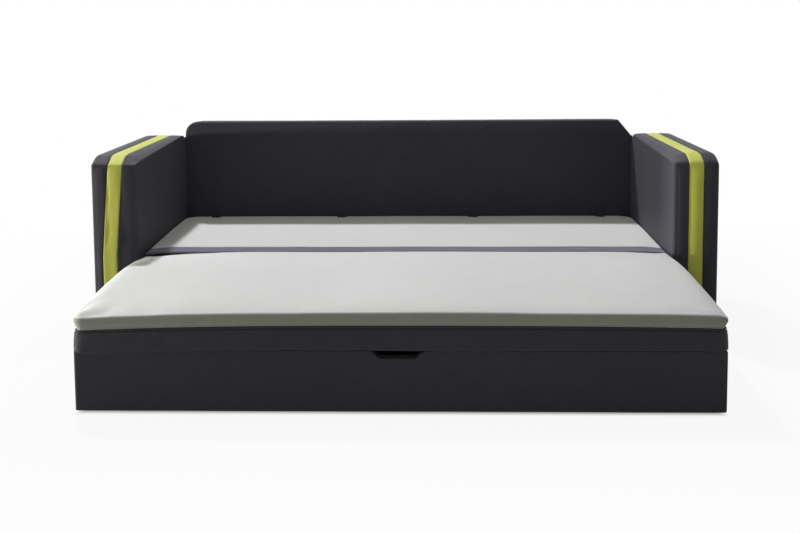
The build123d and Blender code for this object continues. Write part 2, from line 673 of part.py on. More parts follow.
def make_side_board():
    """The drawer's right side board, under the slats."""
    board = block(
        (X_SIDE_INNER, X_SIDE_OUTER),
        (Y_BOARD_REAR, Y_DRAWER_REAR),
        (SIDE_BOARD_BOTTOM, SLAT_BOTTOM),
    )
    return cut_all(board, slat_screws(SCREW_GAP)[3::4])


def make_side_padding():
    """Padded cloth over the right side board, as far back as the open drawer shows it."""
    return block(
        (X_SIDE_OUTER, BOX_WIDTH / 2),
        (Y_BOARD_REAR, Y_ARM_FRONT),
        (SIDE_BOARD_BOTTOM, BOX_TOP_HEIGHT),
    )


def make_bearer():
    """The right one of the two long bearers that carry the slats and the casters."""
    bearer = block(
        (BEARER_X - BEARER_WIDTH / 2, BEARER_X + BEARER_WIDTH / 2),
        (Y_BOARD_REAR, Y_DRAWER_REAR - SIDE_BOARD_THICKNESS),
        (BEARER_BOTTOM, SLAT_BOTTOM),
    )
    tools = slat_screws(SCREW_GAP)[2::4] + caster_screws(SCREW_GAP)
    return cut_all(bearer, tools)


def make_drawer_rear():
    """The board across the drawer's rear end."""
    return block(
        (-X_SIDE_INNER, X_SIDE_INNER),
        (Y_DRAWER_REAR - SIDE_BOARD_THICKNESS, Y_DRAWER_REAR),
        (REAR_BOARD_BOTTOM, SLAT_BOTTOM),
    )


def make_support_rail():
    """The beam on the last slat that carries the rear cushion's front end."""
    return block(
        (-X_SIDE_OUTER, X_SIDE_OUTER),
        (Y_RAIL_FRONT, Y_DRAWER_REAR),
        (BOX_TOP_HEIGHT, DECK_TOP - SOFT_GAP),
    )


def make_corner_brackets():
    """Steel angles in the drawer's front corners."""
    z = (CORNER_BOTTOM, CORNER_BOTTOM + CORNER_HEIGHT)
    on_side = block(
        (X_SIDE_INNER - CORNER_THICKNESS, X_SIDE_INNER), (Y_BOARD_REAR, Y_BOARD_REAR + CORNER_LEG), z
    )
    on_front = block(
        (X_SIDE_INNER - CORNER_LEG, X_SIDE_INNER), (Y_BOARD_REAR, Y_BOARD_REAR + CORNER_THICKNESS), z
    )
    return group(both_sides(on_side + on_front))


def caster_places():
    """The casters' (x, y)."""
    return [(x, y) for x in CASTER_XS.values() for y in CASTER_YS.values()]


def caster_screws(gap):
    """Screws up through the caster plates, made fatter by gap to cut their holes."""
    reach = CASTER_PLATE / 2 - CASTER_SCREW_INSET
    seat = BEARER_BOTTOM - CASTER_PLATE_THICKNESS
    bite = (BEARER_WIDTH - CASTER_SCREW_INSET) / 2 - CASTER_SCREW_INSET / 2
    screws = []
    for x, y in caster_places():
        for dx in (-bite, bite):
            for dy in (-reach, reach):
                ends = (seat, seat + SCREW_LENGTH + gap)
                shank = rod_z(x + dx, y + dy, ends, SCREW_RADIUS + gap)
                ends = (seat - SCREW_HEAD_HEIGHT, seat)
                head = rod_z(x + dx, y + dy, ends, SCREW_HEAD_RADIUS)
                screws.append(shank + head)
    return screws


def make_caster_forks():
    """The casters' steel plates and cheeks."""
    inner = WHEEL_WIDTH / 2 + CHEEK_GAP
    outer = inner + CHEEK_THICKNESS
    half = CASTER_PLATE / 2
    top = BEARER_BOTTOM - CASTER_PLATE_THICKNESS
    plate = block((-half, half), (-half, half), (top, BEARER_BOTTOM))
    cheek = block((inner, outer), (-CHEEK_HALF_DEPTH, CHEEK_HALF_DEPTH), (WHEEL_RADIUS, top))
    cheek += rod_x(((inner + outer) / 2, 0, WHEEL_RADIUS), CHEEK_HALF_DEPTH, CHEEK_THICKNESS)
    bore = rod_x((0, 0, WHEEL_RADIUS), AXLE_RADIUS + FIXED_PIN_GAP, 2 * outer + OVERRUN)
    fork = plate + cheek + mirror(cheek, Plane.YZ) - bore
    forks = [Pos(x, y, 0) * fork for x, y in caster_places()]
    return group(cut_all(f, caster_screws(SCREW_GAP)) for f in forks)


def make_caster_axles():
    """The casters' axles, with a head at each end."""
    outer = WHEEL_WIDTH / 2 + CHEEK_GAP + CHEEK_THICKNESS
    axle = rod_x((0, 0, WHEEL_RADIUS), AXLE_RADIUS, 2 * outer)
    head = rod_x((outer + AXLE_HEAD / 2, 0, WHEEL_RADIUS), AXLE_HEAD_RADIUS, AXLE_HEAD)
    pin = axle + head + mirror(head, Plane.YZ)
    return group(Pos(x, y, 0) * pin for x, y in caster_places())


def make_wheel_hub():
    """A caster wheel's hub, dished on both faces round its boss."""
    radius = WHEEL_RADIUS - TYRE_THICKNESS
    body = rod_x((0, 0, WHEEL_RADIUS), radius, WHEEL_WIDTH)
    dish_middle = (WHEEL_WIDTH - HUB_DISH) / 2
    dish = rod_x((dish_middle, 0, WHEEL_RADIUS), radius - HUB_DISH, HUB_DISH)
    dish -= rod_x((dish_middle, 0, WHEEL_RADIUS), HUB_BOSS_RADIUS, HUB_DISH)
    bore = rod_x((0, 0, WHEEL_RADIUS), AXLE_RADIUS + RUNNING_GAP, WHEEL_WIDTH + OVERRUN)
    return body - dish - mirror(dish, Plane.YZ) - bore


def make_wheel_tyre():
    """The tyre round a caster wheel's hub."""
    body = rod_x((0, 0, WHEEL_RADIUS), WHEEL_RADIUS, WHEEL_WIDTH)
    inner = WHEEL_RADIUS - TYRE_THICKNESS + FIXED_PIN_GAP
    return body - rod_x((0, 0, WHEEL_RADIUS), inner, WHEEL_WIDTH + OVERRUN)


def make_deck_pad():
    """The dark pad on the drawer, under the front mattress."""
    y = (Y_BED_FRONT + SIDE_DRAW, Y_MATTRESS_REAR)
    radii = (DECK_CORNER_RADIUS, DECK_CORNER_RADIUS)
    return soft_pad(DECK_PAD_WIDTH, y, (BOX_TOP_HEIGHT, DECK_TOP), 0, DECK_BULGE, radii)


def make_front_mattress():
    """The light front mattress."""
    y = (Y_BED_FRONT, Y_MATTRESS_REAR)
    radii = (FRONT_CORNER_RADIUS, STRIP_CORNER_RADIUS)
    top = BED_TOP + MATTRESS_CROWN / 2
    return soft_pad(MATTRESS_WIDTH, y, (DECK_TOP, top), MATTRESS_CROWN, MATTRESS_BULGE, radii)


def hinge_notches():
    """Notches in the rear edge of the rear mattress that leave the hinges free."""
    half = HINGE_NOTCH_WIDTH / 2
    y = (Y_CUSHION_REAR - HINGE_NOTCH_DEPTH, Y_CUSHION_REAR + OVERRUN)
    notches = []
    for x in HINGE_XS:
        notches.append(block((x - half, x + half), y, (CUSHION_BOARD_TOP, BED_TOP + OVERRUN)))
        slot = HINGE_EYE_WIDTH / 2 + HINGE_POCKET_GAP
        foot = (y[0] - HINGE_FOOT_LENGTH, Y_CUSHION_REAR)
        top = CUSHION_BOARD_TOP + HINGE_FOOT_THICKNESS + HINGE_POCKET_GAP
        notches.append(block((x - slot, x + slot), foot, (CUSHION_BOARD_TOP, top)))
    return notches


def make_rear_mattress():
    """The light top of the rear cushion."""
    y = (Y_CUSHION_FRONT, Y_CUSHION_REAR)
    radii = (STRIP_CORNER_RADIUS, REAR_CORNER_RADIUS)
    top = BED_TOP + CUSHION_CROWN / 2
    z = (CUSHION_BOARD_TOP, top)
    body = soft_pad(MATTRESS_WIDTH, y, z, CUSHION_CROWN, CUSHION_BULGE, radii)
    return cut_all(body, hinge_notches())


def make_cushion_board():
    """The stiff board inside the rear cushion."""
    half = MATTRESS_WIDTH / 2 - CUSHION_BOARD_MARGIN
    y = (Y_CUSHION_FRONT + CUSHION_BOARD_MARGIN, Y_CUSHION_REAR - CUSHION_BULGE)
    plan = Pos(0, (y[0] + y[1]) / 2) * Rectangle(2 * half, y[1] - y[0])
    plan = fillet(plan.vertices().group_by(Axis.Y)[-1], REAR_CORNER_RADIUS)
    body = Pos(0, 0, CUSHION_BOARD_BOTTOM) * extrude(plan, amount=CUSHION_BOARD_THICKNESS)
    return cut_all(body, cushion_screws(SCREW_GAP))


def make_cushion_underside():
    """The dark pad under the rear cushion, which is the backrest once the cushion stands."""
    y = (Y_CUSHION_FRONT, Y_CUSHION_REAR)
    radii = (STRIP_CORNER_RADIUS, REAR_CORNER_RADIUS)
    z = (DECK_TOP, CUSHION_BOARD_BOTTOM)
    return soft_pad(MATTRESS_WIDTH, y, z, 0, CUSHION_BULGE, radii)


def make_strip_flap():
    """The thin dark flap on the cushion's front edge, which covers the gap to the mattress."""
    y = (Y_STRIP_FRONT, Y_CUSHION_FRONT + CUSHION_BULGE)
    top = BED_TOP - CUSHION_CROWN / 2
    radii = (STRIP_CORNER_RADIUS, STRIP_CORNER_RADIUS)
    body = soft_pad(MATTRESS_WIDTH, y, (top - STRIP_THICKNESS, top), 0, STRIP_BULGE, radii)
    return body - make_rear_mattress()


def make_hinge_brackets():
    """Steel brackets on the back's frame: a base and two ears round each hinge pin."""
    inner = HINGE_EYE_WIDTH / 2 + HINGE_EAR_GAP
    outer = inner + HINGE_EAR_THICKNESS
    base = block(
        (-outer, outer),
        (Y_BACK_CORE_FRONT - HINGE_BASE_THICKNESS, Y_BACK_CORE_FRONT),
        (PIVOT_Z - HINGE_BASE_HEIGHT / 2, PIVOT_Z + HINGE_BASE_HEIGHT / 2),
    )
    ear = block(
        (inner, outer),
        (PIVOT_Y, Y_BACK_CORE_FRONT),
        (PIVOT_Z - HINGE_EYE_RADIUS, PIVOT_Z + HINGE_EYE_RADIUS),
    )
    ear += rod_x(((inner + outer) / 2, PIVOT_Y, PIVOT_Z), HINGE_EYE_RADIUS, HINGE_EAR_THICKNESS)
    bore = rod_x((0, PIVOT_Y, PIVOT_Z), HINGE_PIN_RADIUS + FIXED_PIN_GAP, 2 * outer + OVERRUN)
    bracket = base + ear + mirror(ear, Plane.YZ) - bore
    brackets = [Pos(x, 0, 0) * bracket for x in HINGE_XS]
    return group(cut_all(b, hinge_screw_tools(SCREW_RADIUS + SCREW_GAP)) for b in brackets)


def make_hinge_pins():
    """The hinge pins, with a head at each end."""
    outer = HINGE_EYE_WIDTH / 2 + HINGE_EAR_GAP + HINGE_EAR_THICKNESS
    pin = rod_x((0, PIVOT_Y, PIVOT_Z), HINGE_PIN_RADIUS, 2 * outer)
    head = rod_x(
        (outer + HINGE_PIN_HEAD / 2, PIVOT_Y, PIVOT_Z),
        HINGE_PIN_RADIUS + HINGE_PIN_HEAD,
        HINGE_PIN_HEAD,
    )
    pin = pin + head + mirror(head, Plane.YZ)
    return group(Pos(x, 0, 0) * pin for x in HINGE_XS)


def make_hinge_screws():
    """The screws that hold the hinge brackets to the back's frame."""
    seat = Y_BACK_CORE_FRONT - HINGE_BASE_THICKNESS
    screws = []
    for x in HINGE_XS:
        for rise in (-HINGE_SCREW_RISE, HINGE_SCREW_RISE):
            z = PIVOT_Z + rise
            shank = rod_y(x, (seat, seat + HINGE_SCREW_LENGTH), z, SCREW_RADIUS)
            head = rod_y(x, (seat - SCREW_HEAD_HEIGHT, seat), z, SCREW_HEAD_RADIUS)
            screws.append(shank + head)
    return group(screws)


def make_hinge_arms():
    """Steel arms on the cushion's board, each with an eye that turns on a hinge pin."""
    half = HINGE_EYE_WIDTH / 2
    eye = rod_x((0, PIVOT_Y, PIVOT_Z), HINGE_EYE_RADIUS, HINGE_EYE_WIDTH)
    reach = (PIVOT_Y - HINGE_EYE_RADIUS, PIVOT_Y + HINGE_EYE_RADIUS)
    web = block((-half, half), reach, (CUSHION_BOARD_TOP, PIVOT_Z))
    front = Y_CUSHION_REAR - HINGE_NOTCH_DEPTH - HINGE_FOOT_LENGTH + HINGE_POCKET_GAP
    foot_top = CUSHION_BOARD_TOP + HINGE_FOOT_THICKNESS
    foot = block((-half, half), (front, PIVOT_Y), (CUSHION_BOARD_TOP, foot_top))
    bore = rod_x((0, PIVOT_Y, PIVOT_Z), HINGE_PIN_RADIUS + RUNNING_GAP, HINGE_EYE_WIDTH + OVERRUN)
    arm = eye + web + foot - bore
    arms = [Pos(x, 0, 0) * arm for x in HINGE_XS]
    return group(cut_all(a, cushion_screws(SCREW_GAP)) for a in arms)


def cushion_screws(gap):
    """Screws down through the hinge arms into the board, made fatter by gap for their holes."""
    top = CUSHION_BOARD_TOP + HINGE_FOOT_THICKNESS
    front = Y_CUSHION_REAR - HINGE_NOTCH_DEPTH - HINGE_FOOT_LENGTH
    screws = []
    for x in HINGE_XS:
        for share in CUSHION_SCREW_SHARES:
            y = front + HINGE_FOOT_LENGTH * share
            low = CUSHION_BOARD_BOTTOM + SCREW_HEAD_HEIGHT
            shank = rod_z(x, y, (low - gap, top), SCREW_RADIUS + gap)
            head = rod_z(x, y, (top - SCREW_HEAD_HEIGHT, top), SCREW_HEAD_RADIUS + gap)
            screws.append(shank + head)
    return screws


def make_nodes():
    """Every node's name and shape."""
    nodes = {}
    for side, turn in (("right", False), ("left", True)):
        pieces = {
            "arm_cover": make_arm_cover(),
            "arm_frame": make_arm_frame(),
            "arm_panels": make_arm_panels(),
            "arm_stripe": make_arm_stripe(),
            "drawer_side_board": make_side_board(),
            "drawer_side_padding": make_side_padding(),
            "drawer_bearer": make_bearer(),
        }
        for name, shape in pieces.items():
            nodes[f"{name}_{side}"] = mirror(shape, Plane.YZ) if turn else shape
    nodes |= {
        "arm_glides": make_arm_glides(),
        "back_cover": make_back_cover(),
        "back_frame": make_back_frame(),
        "back_panels": make_back_panels(),
        "back_feet": make_back_feet(),
        "back_glides": make_back_glides(),
        "rear_apron": make_rear_apron(),
        "arm_angle_plates_low": make_low_plates(),
        "arm_angle_plates_high": make_high_plates(),
        "angle_plate_bolts": make_plate_bolts(),
        "guide_strips": make_guide_strips(),
        "drawer_stops": make_drawer_stops(),
        "hinge_brackets": make_hinge_brackets(),
        "hinge_pins": make_hinge_pins(),
        "hinge_bracket_screws": make_hinge_screws(),
        "drawer_front_board": make_front_board(),
        "drawer_front_padding": make_front_padding(),
        "drawer_rear_board": make_drawer_rear(),
        "drawer_slats": make_slats(),
        "slat_screws": group(slat_screws(0)),
        "cushion_support_rail": make_support_rail(),
        "drawer_corner_brackets": make_corner_brackets(),
        "drawer_guide_blocks": make_guide_blocks(),
        "caster_forks": make_caster_forks(),
        "caster_axles": make_caster_axles(),
        "caster_screws": group(caster_screws(0)),
        "deck_pad": make_deck_pad(),
        "front_mattress": make_front_mattress(),
        "rear_mattress": make_rear_mattress(),
        "cushion_board": make_cushion_board(),
        "cushion_underside": make_cushion_underside(),
        "strip_flap": make_strip_flap(),
        "hinge_arms": make_hinge_arms(),
        "hinge_arm_screws": group(cushion_screws(0)),
    }
    hub, tyre = make_wheel_hub(), make_wheel_tyre()
    for end, y in CASTER_YS.items():
        for side, x in CASTER_XS.items():
            nodes[f"wheel_hub_{end}_{side}"] = Pos(x, y, 0) * hub
            nodes[f"wheel_tyre_{end}_{side}"] = Pos(x, y, 0) * tyre
    return nodes


def main():
    """Write one STEP file per node, and print the places that the joints need."""
    os.makedirs("parts", exist_ok=True)
    for name, shape in make_nodes().items():
        export_step(shape, f"parts/{name}.step")
    print(f"cushion pivot y {PIVOT_Y:.3f} z {PIVOT_Z:.3f}")
    print(f"cushion turn per mm of travel {pi / 2 / DRAWER_TRAVEL:.8f} rad")
    print(f"wheel turn per mm of travel {1 / WHEEL_RADIUS:.8f} rad, axle z {WHEEL_RADIUS:.3f}")
    for end, y in CASTER_YS.items():
        print(f"caster {end} y {y:.3f} x {BEARER_X:.3f}")


if __name__ == "__main__":
    main()
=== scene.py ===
"""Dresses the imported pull-out sofa bed: cloth-covered arms and back, pads, drawer and metalwork.

Everything is in metres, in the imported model's own frame: +X to the viewer's right along the seat,
+Y towards the back and +Z up, with the bed open.
"""

from __future__ import annotations

import json
import logging
from dataclasses import dataclass
from enum import Enum
from typing import Callable, ClassVar, Sequence

import bmesh
import bpy
import numpy as np
from bpy.types import Material, Mesh, Node, NodeSocket, Object, World
from mathutils import Matrix, Vector


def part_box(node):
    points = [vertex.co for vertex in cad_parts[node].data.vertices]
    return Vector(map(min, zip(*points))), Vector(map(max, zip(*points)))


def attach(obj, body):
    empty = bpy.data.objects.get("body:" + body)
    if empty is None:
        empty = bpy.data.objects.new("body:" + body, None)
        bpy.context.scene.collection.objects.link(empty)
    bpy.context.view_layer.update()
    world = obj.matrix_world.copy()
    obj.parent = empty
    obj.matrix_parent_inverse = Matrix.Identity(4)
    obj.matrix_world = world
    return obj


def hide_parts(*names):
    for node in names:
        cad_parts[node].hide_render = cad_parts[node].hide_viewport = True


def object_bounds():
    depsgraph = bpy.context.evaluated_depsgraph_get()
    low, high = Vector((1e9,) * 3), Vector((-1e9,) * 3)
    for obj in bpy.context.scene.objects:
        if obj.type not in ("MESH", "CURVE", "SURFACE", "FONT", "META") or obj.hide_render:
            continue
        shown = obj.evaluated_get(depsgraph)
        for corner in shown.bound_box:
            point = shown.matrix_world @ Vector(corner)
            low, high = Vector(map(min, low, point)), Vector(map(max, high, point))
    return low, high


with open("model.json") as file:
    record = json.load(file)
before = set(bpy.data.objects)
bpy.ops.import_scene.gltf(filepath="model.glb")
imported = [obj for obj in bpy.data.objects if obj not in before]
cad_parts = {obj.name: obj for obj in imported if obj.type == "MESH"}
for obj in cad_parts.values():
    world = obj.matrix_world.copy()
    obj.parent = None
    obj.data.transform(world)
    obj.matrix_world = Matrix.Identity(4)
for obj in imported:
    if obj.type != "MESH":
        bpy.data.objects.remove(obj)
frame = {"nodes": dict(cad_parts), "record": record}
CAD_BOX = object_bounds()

log = logging.getLogger("sofa_bed")

Array = np.ndarray
Span = tuple[float, float]
Place = tuple[float, float, float]
Colour = tuple[float, float, float]

# A warp takes the (across, along, height) of a slab's points to their places in the room. A hold
# takes a cover's rest places, n x 3, to how freely each may move, from 0 to 1: n x 3 for a share
# along each axis, or n x 1 for the same along all.
Warp = Callable[[Array], Array]
Hold = Callable[[Array], Array]

CHARCOAL_SLOT, BED_SLOT = "charcoal_fabric", "bed_fabric"
WHITE = (1.0, 1.0, 1.0)


# Shaders


class Socket:
    """An output of a shader node, on which Python's operators make Math nodes."""

    def __init__(self, paint: Paint, out: NodeSocket) -> None:
        """Keep the material's tree and the output."""
        self.paint, self.out = paint, out

    def math(self, operation: str, *others: Socket | float, first: float | None = None) -> Socket:
        """Make a Math node.

        Args:
            operation: Blender's name of the operation.
            others: What is combined with this output.
            first: A number that stands before this output, for a reversed operator.

        Returns:
            The node's output.
        """
        values = (self, *others) if first is None else (first, self)
        node = self.paint.node("ShaderNodeMath", {"operation": operation})
        for index, value in enumerate(values):
            self.paint.feed(node.inputs[index], value)
        return Socket(self.paint, node.outputs[0])

    def __add__(self, other: Socket | float) -> Socket:
        """Add."""
        return self.math("ADD", other)

    def __sub__(self, other: Socket | float) -> Socket:
        """Subtract."""
        return self.math("SUBTRACT", other)

    def __rsub__(self, other: float) -> Socket:
        """Subtract from a number."""
        return self.math("SUBTRACT", first=other)

    def __mul__(self, other: Socket | float) -> Socket:
        """Multiply."""
        return self.math("MULTIPLY", other)

    def ramp(self, low: float, high: float, start: float = 0.0, end: float = 1.0) -> Socket:
        """Smooth step: `start` below `low`, `end` above `high`."""
        node = self.paint.node("ShaderNodeMapRange", {"interpolation_type": "SMOOTHSTEP"})
        for index, value in enumerate((self, low, high, start, end)):
            self.paint.feed(node.inputs[index], value)
        return Socket(self.paint, node.outputs[0])

    def between(self, first: Socket | Sequence[float], second: Socket | Sequence[float]) -> Socket:
        """Colour mixed from first to second by this value."""
        node = self.paint.node("ShaderNodeMix", {"data_type": "RGBA"})
        self.paint.feed(node.inputs[0], self)
        self.paint.feed(node.inputs[6], first)
        self.paint.feed(node.inputs[7], second)
        return Socket(self.paint, node.outputs[2])


class Paint:
    """A material and the making of its node tree."""

    def __init__(self, name: str) -> None:
        """Start an empty material."""
        self.material = bpy.data.materials.new(name)
        self.material.use_nodes = True
        self.tree = self.material.node_tree
        self.tree.nodes.clear()

    @classmethod
    def of_world(cls, world: World) -> Paint:
        """Paint the world in place of a material."""
        paint = cls.__new__(cls)
        paint.material, paint.tree = world, world.node_tree
        paint.tree.nodes.clear()
        return paint

    def node(self, kind: str, settings: dict | None = None, **inputs: object) -> Node:
        """Make one node.

        Args:
            kind: Blender's type name.
            settings: Properties of the node.
            inputs: Values or outputs for its inputs, named with _ for a space.

        Returns:
            The node.
        """
        node = self.tree.nodes.new(kind)
        for key, value in (settings or {}).items():
            setattr(node, key, value)
        for key, value in inputs.items():
            self.feed(node.inputs[key.replace("_", " ")], value)
        return node

    def feed(self, socket: NodeSocket, value: object) -> None:
        """Link an output to a socket, or set the socket's own value."""
        if isinstance(value, Socket):
            self.tree.links.new(value.out, socket)
        elif isinstance(value, (tuple, list)) and len(socket.default_value) == 4:
            socket.default_value = (*value[:3], 1.0)
        else:
            socket.default_value = value

    def output(self, node: Node, name: str | int = 0) -> Socket:
        """Wrap one output of a node."""
        return Socket(self, node.outputs[name])

    def place(self, coordinates: Coordinates, scale: Sequence[float] = (1, 1, 1)) -> Socket:
        """Coordinates in metres, times scale."""
        if coordinates is Coordinates.CLOTH:
            source = self.output(self.node("ShaderNodeUVMap", {"uv_map": "cloth"}))
        else:
            source = self.output(self.node("ShaderNodeTexCoord"), "Object")
        return self.output(self.node("ShaderNodeMapping", Vector=source, Scale=tuple(scale)))

    def noise(self, place: Socket, scale: float, detail: float = 2.0) -> Socket:
        """Soft noise from 0 to 1 with this many lumps to the metre."""
        node = self.node("ShaderNodeTexNoise", Vector=place, Scale=scale, Detail=detail)
        return self.output(node, "Fac")

    def axes(self, place: Socket) -> tuple[Socket, Socket, Socket]:
        """The three coordinates of a place."""
        node = self.node("ShaderNodeSeparateXYZ", Vector=place)
        return tuple(self.output(node, index) for index in range(3))

    def bump(self, height: Socket, depth: float, strength: float = 1.0) -> Socket:
        """Normal of a surface that rises by depth metres where height is 1."""
        node = self.node("ShaderNodeBump", Height=height, Distance=depth, Strength=strength)
        return self.output(node)

    def mixed(self, share: Socket, first: Node, second: Node) -> Node:
        """Mix two shaders.

        Args:
            share: How much of the second shows.
            first: The shader where share is 0.
            second: The shader where share is 1.

        Returns:
            The shader that mixes them.
        """
        node = self.node("ShaderNodeMixShader", Fac=share)
        for index, shader in enumerate((first, second), 1):
            self.tree.links.new(shader.outputs[0], node.inputs[index])
        return node

    def finish(self, shader: Node, kind: str = "ShaderNodeOutputMaterial") -> Material:
        """Join the shader to an output of this kind and return the material."""
        self.tree.links.new(shader.outputs[0], self.node(kind).inputs[0])
        return self.material

    def principled(self, **inputs: object) -> Material:
        """Finish the material with a Principled shader that has these inputs."""
        return self.finish(self.node("ShaderNodeBsdfPrincipled", **inputs))


class Coordinates(Enum):
    """What a pattern follows."""

    CLOTH = "the piece's own cloth map, in metres along the surface"
    SPACE = "the object's space"


@dataclass(frozen=True)
class Cloth:
    """Woven or knitted cloth: plain weave, flecked threads, soft mottling and worn edges.

    The colours are those of the threads, of their flecks and of worn edges. Slub is how many
    flecks there are to the metre along a thread and across it, and cloud and patch are the lumps
    to the metre of the mottling.
    """

    name: str
    colour: Colour
    fleck: Colour
    worn: Colour
    pitch: float = 0.0012
    relief: float = 0.0003
    roughness: float = 0.85
    sheen: float = 0.3
    sheen_tint: Colour = WHITE
    gloss: float = 0.08
    mottle: float = 0.1
    slub: Span = (30, 600)
    cloud: float = 2.3
    patch: float = 14.0
    coordinates: Coordinates = Coordinates.CLOTH

    def material(self) -> Material:
        """Make the cloth.

        The weave is a sine along each thread; where the product of both sines is positive the
        warp thread lies on top. Threads are flecked by noise drawn out along them.

        Returns:
            The material.
        """
        paint = Paint(self.name)
        place = paint.place(self.coordinates)
        along, across, _ = paint.axes(place)
        turn = np.pi / self.pitch
        warp, weft = (along * turn).math("SINE"), (across * turn).math("SINE")
        over = (warp * weft).ramp(-0.25, 0.25)
        under = 1.0 - over
        threads = over * warp.math("ABSOLUTE") + under * weft.math("ABSOLUTE")
        few, many = self.slub
        slub, cross_slub = (
            paint.noise(paint.place(self.coordinates, scale), 1.0)
            for scale in ((few, many, many), (many, few, many))
        )
        fleck = (slub * over + cross_slub * under).ramp(0.35, 0.7)
        cloud = paint.noise(place, self.cloud, 3.0).ramp(0.3, 0.7)
        patch = paint.noise(place, self.patch, 4.0).ramp(0.25, 0.75)
        edge = paint.output(paint.node("ShaderNodeAttribute", {"attribute_name": "edge"}), "Fac")
        shade = fleck.between(self.colour, self.fleck)
        darker = tuple(value * (1 - self.mottle) for value in self.colour)
        shade = (cloud * 0.35 + patch * 0.25).between(shade, darker)
        shade = (edge * (patch * 0.3 + 0.1)).between(shade, self.worn)
        height = threads * 0.6 + fleck * 0.2 + patch * 0.9
        return paint.principled(
            Base_Color=shade, Roughness=fleck * 0.06 + (self.roughness - 0.03),
            Normal=paint.bump(height, self.relief), Sheen_Weight=self.sheen, Sheen_Roughness=0.45,
            Sheen_Tint=self.sheen_tint, Specular_IOR_Level=self.gloss,
        )


@dataclass(frozen=True)
class Timber:
    """Planed softwood or plywood: long grain, growth rings and a few darker streaks.

    Stretch is the lumps of grain to the metre along each axis, which are fewest along the grain;
    fine is how many times finer the fibres are, and rings how many a lump has.
    """

    name: str
    light: Colour = (0.66, 0.47, 0.27)
    dark: Colour = (0.45, 0.27, 0.13)
    stretch: Place = (1.2, 26.0, 26.0)
    fine: float = 9
    rings: float = 34.0
    roughness: float = 0.6

    def material(self) -> Material:
        """Make the wood from noise that is drawn out along the grain."""
        paint = Paint(self.name)
        grain = paint.noise(paint.place(Coordinates.SPACE, self.stretch), 1.0, 5.0)
        finer_scale = [self.fine * lumps for lumps in self.stretch]
        fine = paint.noise(paint.place(Coordinates.SPACE, finer_scale), 1.0, 3.0)
        rings = (grain * self.rings).math("SINE") * 0.5 + 0.5
        mix = (rings * 0.55 + fine * 0.45).ramp(0.15, 0.95)
        return paint.principled(
            Base_Color=mix.between(self.light, self.dark),
            Roughness=fine * 0.15 + (self.roughness - 0.07),
            Normal=paint.bump(mix + fine, 0.0002, 0.6), Specular_IOR_Level=0.35,
        )


@dataclass(frozen=True)
class Metal:
    """Zinc-plated or powder-coated steel: blotches and lumps are how many to the metre."""

    name: str
    colour: Colour
    second: Colour
    metallic: float
    roughness: float
    lumps: float
    relief: float
    blotches: float = 60.0

    def material(self) -> Material:
        """Make the metal: blotched plating or the orange-peel skin of powder coat."""
        paint = Paint(self.name)
        place = paint.place(Coordinates.SPACE)
        blotch = paint.noise(place, self.blotches, 4.0).ramp(0.3, 0.7)
        return paint.principled(
            Base_Color=blotch.between(self.colour, self.second), Metallic=self.metallic,
            Roughness=blotch * 0.12 + (self.roughness - 0.06),
            Normal=paint.bump(paint.noise(place, self.lumps), self.relief, 0.7),
        )


@dataclass(frozen=True)
class Moulded:
    """Moulded plastic or rubber: a fine spark-eroded grain and scuffed shine."""

    name: str
    colour: Colour
    scuffed: Colour
    roughness: float = 0.5
    scuffs: float = 35.0
    grain: float = 900.0

    def material(self) -> Material:
        """Make the plastic: scuffs and grain are how many to the metre."""
        paint = Paint(self.name)
        place = paint.place(Coordinates.SPACE)
        scuff = paint.noise(place, self.scuffs, 6.0).ramp(0.5, 0.75)
        return paint.principled(
            Base_Color=scuff.between(self.colour, self.scuffed),
            Roughness=scuff * 0.15 + self.roughness,
            Normal=paint.bump(paint.noise(place, self.grain, 1.0), 0.0001, 0.6),
            Specular_IOR_Level=0.4,
        )


